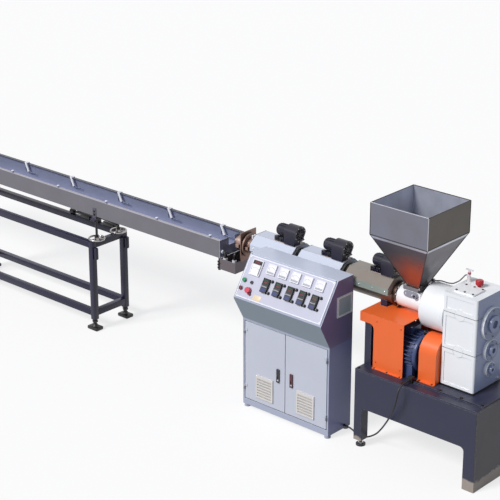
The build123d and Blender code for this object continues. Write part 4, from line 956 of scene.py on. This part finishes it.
# Panel. Across from its left edge, up from its lower edge, height over its plate.
panel = {
    "corner": (-1.155, -0.447, 0.830), "tilt": math.atan2(1.092 - 0.830, 0.447 - 0.279),
    "plate": 0.004, "sheet": ((0.0085, 0.0085, -0.0005), (0.7345, 0.3027, 0.0006)),
    "across": [0.743 * (0.30 + 0.1375 * i) for i in range(5)],
    "meterUp": 0.79 * 0.3112, "controlUp": 0.43 * 0.3112, "master": (0.135 * 0.743, 0.73 * 0.3112),
    "meterBoxes": (("faces", (-0.029, -0.029, 0.0085), (0.029, 0.029, 0.0096)),
                   ("keys", (-0.029, -0.029, 0.0090), (0.029, -0.016, 0.0104))),
    "meterPivot": (0, -0.020, 0.0098), "meterMarks": (11, 135, 9, 5, 0.034, 0.031, 0.0375, 0.00055),
    "needle": (128, 0.035, 0.0005),
    "controlBoxes": (("glass", (-0.018, 0.0105, 0.0165), (0.018, 0.041, 0.0182)),
                     ("screens", (-0.019, -0.042, 0.0196), (0.019, -0.020, 0.0205)),
                     ("keys", (0.0378, -0.0412, 0.0150), (0.0402, -0.0338, 0.0172)),
                     ("keys", (0.0378, 0.0388, 0.0150), (0.0402, 0.0462, 0.0172)),
                     *(("keys", (x - 0.004, -0.012, 0.0195), (x + 0.004, -0.005, 0.0212), 0.0004)
                       for x in (-0.0165, -0.0055, 0.0055, 0.0165))),
    "controlRows": (("digits", 0.028), ("needles", 0.0145)),
    "controlFigures": (4, -0.0135, 0.0072, 0.0181, 0.0187, 0.0042, 0.0038, 0.0084, 0.0009),
    "masterBoxes": (("glass", (-0.036, 0.022, 0.0085), (0.036, 0.047, 0.0122)),
                    ("glass", (0.030, -0.047, 0.0085), (0.036, 0.022, 0.0104)),
                    ("faces", (-0.036, -0.047, 0.0085), (0.029, 0.021, 0.0096))),
    "masterRow": 0.027, "masterFigures": (3, -0.020, 0.014, 0.0121, 0.0126, 0.008, 0.0066, 0.0146,
                                          0.0014),
    "masterPivot": (-0.004, -0.040, 0.0097),
    "masterMarks": (13, 142, 8.7, 3, 0.039, 0.036, 0.043, 0.0006), "markSides": 6,
    "screws": [(x, y, 0) for x in (0.022, 0.721) for y in (0.022, 0.289)], "screw": 0.0032,
    "reset": ((0.121, 0.050, 0.0), (0.121, 0.050, 0.013), 0.0105, 28),
    "buttons": ((0.0424, 0.1285, 0.013, 0.016, "buttonGreen"),
                (0.1048, 0.1263, 0.0091, 0.0112, "buttonBlack"),
                (0.0357, 0.0710, 0.0117, 0.0144, "darkRed"),
                (0.1033, 0.0694, 0.0195, 0.024, "buttonRed")),
    "buttonFoot": 0.005, "buttonSkin": 0.0006, "buttonSides": 32, "ringFoot": 0.0052,
    "ringOut": 0.002, "ringWire": 0.0011,
    "cream": ((0.154, 0.022, -0.0002), (0.219, 0.058, 0.0012), 0.0005),
}
panelFrame = (Matrix.Translation(panel["corner"]) @ Matrix.Rotation(panel["tilt"], 4, "X")
              @ Matrix.Translation((0, 0, panel["plate"])))
panelLooks = {
    "faces": ("dialFaces", "whitePlastic", "instrument_white", 0.0004),
    "marks": ("dialMarks", "instrumentBlack", "button_plastic", 0.0001),
    "needles": ("dialNeedles", "buttonRed", "button_plastic", 0.0001),
    "digits": ("displayDigits", "buttonGreen", "button_plastic", 0.0001),
    "glass": ("displayGlass", "instrumentBlack", "button_plastic", 0.0002),
    "screens": ("controlScreens", "screenBlue", "button_plastic", 0.0002),
    "reset": ("resetCap", "darkRed", "button_plastic", 0.0014),
    "keys": ("controlKeys", "keyGrey", "button_plastic", 0.0002),
}


def figures(across, up, count, first, pitch, low, high, width, middle, tall, bar):
    rows = []
    for left in (across + first + pitch * number for number in range(count)):
        for x, y, right, top in ((0, 0, width, bar), (0, middle, width, middle + bar),
                                 (0, tall - bar, width, tall), (width - bar, 0, width, tall)):
            rows.append(((left + x, up + y, low), (left + right, up + top, high)))
    return rows


def pointer(turn):
    return Vector((math.cos(math.radians(turn)), math.sin(math.radians(turn)), 0))


def dialMarks(pivot, count, first, pitch, every, short, long, end, radius):
    return [(pivot + pointer(first - pitch * i) * (short if i % every else long),
             pivot + pointer(first - pitch * i) * end, radius, panel["markSides"])
            for i in range(count)]


def addPanelParts():
    def onPanel(name, finish, slot, soft, **shapes):
        addPiece(name, finish, slot, soft, at=panelFrame, **shapes)

    boxes = {part: [] for part in panelLooks}
    rods = {part: [] for part in panelLooks}
    rods["reset"].append(panel["reset"])

    def fit(table, across, up):
        for part, low, high, *rest in table:
            boxes[part].append(((low[0] + across, low[1] + up, low[2]),
                                (high[0] + across, high[1] + up, high[2]), *rest))

    onPanel("panelSheet", "plateGrey", "panel_plate", 0.0002, boxes=[panel["sheet"]])
    turn, reach, thick = panel["needle"]
    for across in panel["across"]:
        fit(panel["meterBoxes"], across, panel["meterUp"])
        pivot = Vector(panel["meterPivot"]) + Vector((across, panel["meterUp"], 0))
        rods["marks"] += dialMarks(pivot, *panel["meterMarks"])
        lifted = pivot + Vector((0, 0, thick))
        rods["keys"].append((lifted, lifted + pointer(turn) * reach, thick, panel["markSides"]))
        fit(panel["controlBoxes"], across, panel["controlUp"])
        for part, row in panel["controlRows"]:
            boxes[part] += figures(across, panel["controlUp"] + row, *panel["controlFigures"])
    x, y = panel["master"]
    fit(panel["masterBoxes"], x, y)
    boxes["needles"] += figures(x, y + panel["masterRow"], *panel["masterFigures"])
    rods["marks"] += dialMarks(Vector(panel["masterPivot"]) + Vector((x, y, 0)),
                               *panel["masterMarks"])
    for part, look in panelLooks.items():
        onPanel(*look, boxes=boxes[part], rods=rods[part])
    onPanel("panelScrews", "brightSteel", "machined_steel", 0.0002,
            bolts=[(point, upward, panel["screw"]) for point in panel["screws"]])
    foot, skin, sides = panel["buttonFoot"], panel["buttonSkin"], panel["buttonSides"]
    for number, (across, up, radius, height, finish) in enumerate(panel["buttons"]):
        onPanel(f"buttonCap{number + 1}", finish, "button_plastic", 0.0014, rods=[
            ((across, up, foot), (across, up, height + skin), radius + skin, sides)])
    onPanel("buttonRings", "keyGrey", "machined_steel", 0.0002, rings=[
        ((across, up, panel["ringFoot"]), upward, radius + panel["ringOut"], panel["ringWire"],
         sides) for across, up, radius, _, _ in panel["buttons"]])
    onPanel("creamPlate", "creamPlate", "panel_plate", 0.0002, boxes=[panel["cream"]])


addPanelParts()

# Cabinet
cabinet = {
    "doors": ((-1.036, -0.886, "left_door", -0.841), (-0.681, -0.531, "right_door", -0.726)),
    "vent": (0.103, 0.269), "ventFront": -0.363, "rim": 0.013, "wires": 24, "wireBack": 0.0032,
    "wireShort": 0.0005, "wire": (0.0007, 6), "screwIn": 0.0065, "ventScrew": 0.0022,
    "lock": ((-0.359, 0.290), (-0.363, 0.290), 0.006, 20),
    "screws": [((-0.404, y, z), toRight, 0.0026) for y in (-0.284, -0.146) for z in (0.847, 0.975)]
    + [((x, y, 1.092), upward, 0.0035) for y in (-0.285, -0.140) for x in (-1.140, -0.427)]
    + [((x, -0.125, z), toBack, 0.0035) for z in (0.12, 0.34, 0.56, 0.78, 1.0)
       for x in (-1.135, -0.432)],
}


def addCabinetParts():
    (low, high), rim, count = cabinet["vent"], cabinet["rim"], cabinet["wires"]
    y, inward = cabinet["ventFront"] + cabinet["wireBack"], cabinet["screwIn"]
    for left, right, body, lockX in cabinet["doors"]:
        spaced = [left + rim + (right - left - 2 * rim) * (i + 0.5) / count for i in range(count)]
        addPiece(f"{body}Mesh", "ventDark", "door_paint", 0.0001, body, rods=[
            ((x, y, low + rim), (x, y, high - rim - cabinet["wireShort"]), *cabinet["wire"])
            for x in spaced])
        addBolts(f"{body}Screws", [((x, cabinet["ventFront"], z), toFront, cabinet["ventScrew"])
                                   for x in (left + inward, right - inward)
                                   for z in (low + inward, high - inward)], body=body)
        addPiece(f"{body}Lock", "brightSteel", "machined_steel", 0.0004, body,
                 rods=[rodAt(lockX, *cabinet["lock"])])
    addBolts("cabinetScrews", cabinet["screws"])


addCabinetParts()

# Base, motor and covers
base = {
    "bolts": [((x, y, 0.562), upward, 0.009) for x in (0.186, 0.360, 0.520, 0.672)
              for y in (-0.223, 0.223)]
    + [((x, y, 0.552), upward, 0.008) for x in (-0.228, 0.120) for y in (-0.285, 0.285)]
    + [((x, y, 0.566), upward, 0.0055) for x in (0.186, 0.282) for y in (-0.2035, 0.0335)]
    + [((x, y, 0.556), upward, 0.0045) for x in (-0.145, -0.045, 0.055) for y in (-0.2345, 0.2345)],
    "coverScrews": [((x, side * 0.228, z), (0, side, 0), 0.005) for x in (-0.140, 0.050)
                    for z in (0.600, 0.880) for side in bothSides],
    "guard": ((0.2962, 0.2992), -0.085, 0.745, 0.1065, 0.5665, 6),
    "footNuts": [((-0.212, y, low), (-0.212, y, high), 0.019, 6) for y in (-0.265, 0.265)
                 for low, high in ((0.0125, 0.021), (0.036, 0.0475))],
    "grille": Vector((-0.1705, -0.085, 0.702)), "grilleRings": 6, "grillePitch": 0.016,
    "grilleWire": 0.0016, "grilleBars": 8, "grilleReach": 0.100,
    "motorCircle": (0.150, -0.085, 0.702, 0.100, 4, 45), "motorBolt": 0.007,
    "boxScrews": [((x, y, 0.866), upward, 0.004) for x in (-0.050, 0.062)
                  for y in (-0.129, -0.041)],
    "eyeRing": ((0.137, -0.085, 0.842), toRight, 0.014, 0.0042, 24),
    "eyeFoot": ((0.137, -0.085, 0.824), (0.137, -0.085, 0.830), 0.011, 20),
}


def addBaseParts():
    addBolts("baseBolts", base["bolts"], "darkSteel")
    addBolts("coverScrews", base["coverScrews"], "orangePaint", "cover_orange")
    addPiece("couplingGuardEnd", "orangePaint", "cover_orange", 0.0004,
             arches=[base["guard"]])
    addPiece("footNuts", "brightSteel", "machined_steel", rods=base["footNuts"])
    middle, bars, wire = base["grille"], base["grilleBars"], base["grilleWire"]
    ways = [Vector(point) for point in roundX(0, 0, 0, base["grilleReach"], 2 * bars)[:bars]]
    addPiece("motorGrille", "instrumentBlack", "motor_paint", 0.0002,
             rings=[(middle, toLeft, base["grillePitch"] * ring, wire)
                    for ring in range(1, base["grilleRings"] + 1)],
             rods=[(middle - way, middle + way, wire, 6) for way in ways])
    addBolts("motorBolts", [(point, toRight, base["motorBolt"])
                            for point in roundX(*base["motorCircle"])] + base["boxScrews"])
    addPiece("motorEye", "darkSteel", "motor_paint", 0.0003, rings=[base["eyeRing"]],
             rods=[base["eyeFoot"]])


addBaseParts()

# Trough. Guide places count from each guide, saddle places from each saddle.
trough = {
    "ends": (-5.579, -1.579), "half": 0.124, "bottom": 0.892, "top": 1.020, "bead": (0.0018, 6),
    "guides": [-1.765 - 0.516 * number for number in range(8)], "saddles": (-2.826, -4.366),
    "bar": (((-0.004, 0.098, 1.026), (0.034, 0.092, 0.962)), 0.0092, 12),
    "bracket": (0.0145, (0.094, 0.1245), (1.0228, 1.0265), 0.001),
    "stud": (0.086, (-0.112, 1.031), (-0.112, 1.0355), 0.0105, 20),
    "padX": 0.186, "padY": 0.092, "pad": (0.030, 0.021, (0.868, 0.8765), 0.002), "padBolt": 0.008,
    "plateY": 0.138, "plate": (0.026, 0.014, (0.856, 0.8625), 0.002),
    "jackNuts": [(side * 0.110, low, high, radius) for side in bothSides
                 for low, high, radius in ((0.846, 0.857, 0.016), (0.7265, 0.737, 0.014))],
    "sideBolts": [(side, 0.128, z, 0.007) for side in bothSides for z in (0.930, 0.906)],
}
water = {
    "bend": 0.018,
    "supply": ((-1.548, -0.100, 0.816), (-1.548, -0.100, 0.935), (-1.5785, -0.100, 0.935)),
    "loop": ((-1.500, -0.060, 0.816), (-1.500, -0.060, 0.925), (-1.500, 0.060, 0.925),
             (-1.500, 0.060, 0.816)),
    "drain": ((-1.595, -0.108, 0.800), (-1.595, -0.108, 0.862)),
    "radii": (0.0110, 0.0100, 0.0105), "sides": 14,
    "collars": [((-1.595, -0.108, z), (-1.595, -0.108, z + 0.008), 0.0155, 8)
                for z in (0.812, 0.834, 0.856)],
    "lever": ((-1.595, -0.108, 0.846), (-1.583, -0.138, 0.848), 0.0050, 10),
    "nuts": [((x, y, z), (x, y, z + 0.020), 0.0165, 8)
             for x, y, z in ((-1.548, -0.100, 0.876), (-1.500, -0.060, 0.860),
                             (-1.500, 0.060, 0.860))]
    + [((-1.5795, -0.100, 0.935), (-1.566, -0.100, 0.935), 0.013, 8)],
    "valveStem": ((-1.500, 0.0, 0.934), (-1.500, 0.0, 0.952), 0.0060, 12),
    "valveBar": ((-1.506, -0.026, 0.950), (-1.494, 0.026, 0.957), 0.002),
}


def blockAt(x, y, halfX, halfY, height, rounding):
    return (x - halfX, y - halfY, height[0]), (x + halfX, y + halfY, height[1]), rounding


def addTroughParts():
    points, *size = trough["bar"]
    offset, *stud = trough["stud"]
    addPiece("guideBars", "whitePlastic", "guide_chrome", 0.0005,
             pipes=[([(x + dx, y, z) for dx, y, z in points], *size) for x in trough["guides"]],
             boxes=[boxAt(x, *trough["bracket"]) for x in trough["guides"]],
             rods=[rodAt(x + offset, *stud) for x in trough["guides"]])
    addPiece("troughWelds", "weldSteel", "trough_stainless", 0.0002, pipes=[
        ([(x, side * trough["half"], trough["bottom"]), (x, side * trough["half"], trough["top"])],
         *trough["bead"]) for x in trough["ends"] for side in bothSides])
    pads, nuts, bolts = [], [], []
    for x in trough["saddles"]:
        for middle, y in ((x + end * trough["padX"], side * trough["padY"])
                          for end in bothSides for side in bothSides):
            pads.append(blockAt(middle, y, *trough["pad"]))
            bolts.append(((middle, y, trough["pad"][2][0]), (0, 0, -1), trough["padBolt"]))
        pads += [blockAt(x, side * trough["plateY"], *trough["plate"]) for side in bothSides]
        nuts += [((x, y, low), (x, y, high), radius, 6)
                 for y, low, high, radius in trough["jackNuts"]]
        bolts += [((x, side * y, z), (0, side, 0), width)
                  for side, y, z, width in trough["sideBolts"]]
    addPiece("saddlePads", "instrumentBlack", "stand_paint", boxes=pads)
    addPiece("saddleNuts", "darkSteel", "machined_steel", 0.0004, rods=nuts, bolts=bolts)
    routes = (bent(water["supply"], water["bend"]), bent(water["loop"], water["bend"]),
              water["drain"])
    addPiece("waterPipes", "pipeBlack", "pipe_black", 0.0003,
             pipes=[(route, radius, water["sides"])
                    for route, radius in zip(routes, water["radii"])],
             rods=water["collars"] + [water["lever"]])
    addPiece("pipeNuts", "whitePlastic", "instrument_white", rods=water["nuts"])
    addPiece("valveLevers", "fittingRed", "fitting_red", 0.0005, rods=[water["valveStem"]],
             boxes=[water["valveBar"]])


addTroughParts()

# The stand's tubes, in the slim section that the photograph shows
stand = {
    "right": -2.826, "left": -4.366, "sides": (-0.157, 0.157), "half": 0.022, "corner": 0.004,
    "height": (0.082, 0.702), "rails": ((0.654, 0.702), (0.112, 0.160)), "lap": 0.001,
    "lug": (0.030, 0.014, (0.568, 0.662), 0.008),
    "footRods": ((0.026, 0.085, 0.013), (0.058, 0.074, 0.022, 6), (0.027, 0.044, 0.026, 24, 0.016)),
    "pad": (0.052, 0.036, (0.0005, 0.028), 0.008), "bead": (0.0020, 6),
    "slides": ((-3.274, -3.172, 0.741), (-3.150, -3.078, 0.728), (-3.022, -2.908, 0.734)),
    "slideSide": (0.136, 0.178), "slideFoot": 0.7015, "slideRounding": 0.004,
    "knob": [((-3.375, 0.157, 0.722), (-3.272, 0.157, 0.722), 0.007, 12),
             ((-3.395, 0.157, 0.722), (-3.355, 0.157, 0.722), 0.020, 20)],
}


def addStand():
    half, lap, corner = stand["half"], stand["lap"], stand["corner"]
    left, right, (front, back) = stand["left"], stand["right"], stand["sides"]
    legs, endRails, feet, pads, beads = ([] for _ in range(5))
    for x in (right, left):
        inner = x - half if x == right else x + half
        for y in (front, back):
            legs.append(blockAt(x, y, half, half, stand["height"], corner))
            if x == right:
                out, wide, (low, high), rounding = stand["lug"]
                legs.append(((x + half - lap, y - wide, low), (x + half + out, y + wide, high),
                             rounding))
            feet += [((x, y, low), (x, y, high), *size) for low, high, *size in stand["footRods"]]
            pads.append(blockAt(x, y, *stand["pad"]))
            beads += [([(inner, y - half, z), (inner, y + half, z)], *stand["bead"])
                      for rail in stand["rails"] for z in rail]
        endRails += [((x - half, front + half - lap, low), (x + half, back - half + lap, high),
                      corner) for low, high in stand["rails"]]
    sideRails = [((left + half - lap, y - half, low), (right - half + lap, y + half, high),
                  corner) for y in (front, back) for low, high in stand["rails"]]
    near, far = stand["slideSide"]
    addPiece("slidePlates", "instrumentBlack", "pipe_black", 0.002, rods=stand["knob"], boxes=[
        ((start, near, stand["slideFoot"]), (end, far, top), stand["slideRounding"])
        for start, end, top in stand["slides"]])
    for name, boxes, node in (("standLegs", legs, "stand_legs"),
                              ("standLongRails", sideRails, "stand_long_rails"),
                              ("standCrossRails", endRails, "stand_cross_rails")):
        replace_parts(addPiece(name, "standPaint", "stand_paint", boxes=boxes), node)
    addPiece("standFeet", "instrumentBlack", "pipe_black", rods=feet, boxes=pads)
    addPiece("standWelds", "standPaint", "stand_paint", 0.0002, pipes=beads)


addStand()
print("small parts are made")

# Motor lead
lead = {
    "diameter": 0.011, "length": 0.974, "order": 3, "steps": 12, "roundness": 4,
    "route": [
        (0.146, -0.262, 0.571), (0.146, -0.300, 0.571), (0.146, -0.338, 0.564),
        (0.146, -0.365, 0.538), (0.142, -0.373, 0.490), (0.126, -0.368, 0.430),
        (0.100, -0.358, 0.372), (0.062, -0.341, 0.306), (0.014, -0.316, 0.240),
        (-0.044, -0.277, 0.170), (-0.104, -0.240, 0.106), (-0.168, -0.212, 0.054),
        (-0.235, -0.198, 0.016), (-0.300, -0.192, 0.014), (-0.356, -0.190, 0.042),
        (-0.396, -0.190, 0.042),
    ],
}


def addMotorLead():
    curve = bpy.data.curves.new("motorLead", "CURVE")
    curve.dimensions = "3D"
    curve.bevel_depth = lead["diameter"] / 2
    curve.bevel_resolution = lead["roundness"]
    curve.resolution_u = lead["steps"]
    spline = curve.splines.new("NURBS")
    points = [place(*p) for p in lead["route"]]
    spline.points.add(len(points) - 1)
    for given, point in zip(points, spline.points):
        point.co = (*given, 1.0)
    spline.order_u = lead["order"]
    spline.use_endpoint_u = True
    curve.materials.append(finishes["leadRubber"])
    piece = link("motorLead", curve)
    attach(piece, "root")
    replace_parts(piece, "motor_lead")


addMotorLead()
print("motor lead is laid")
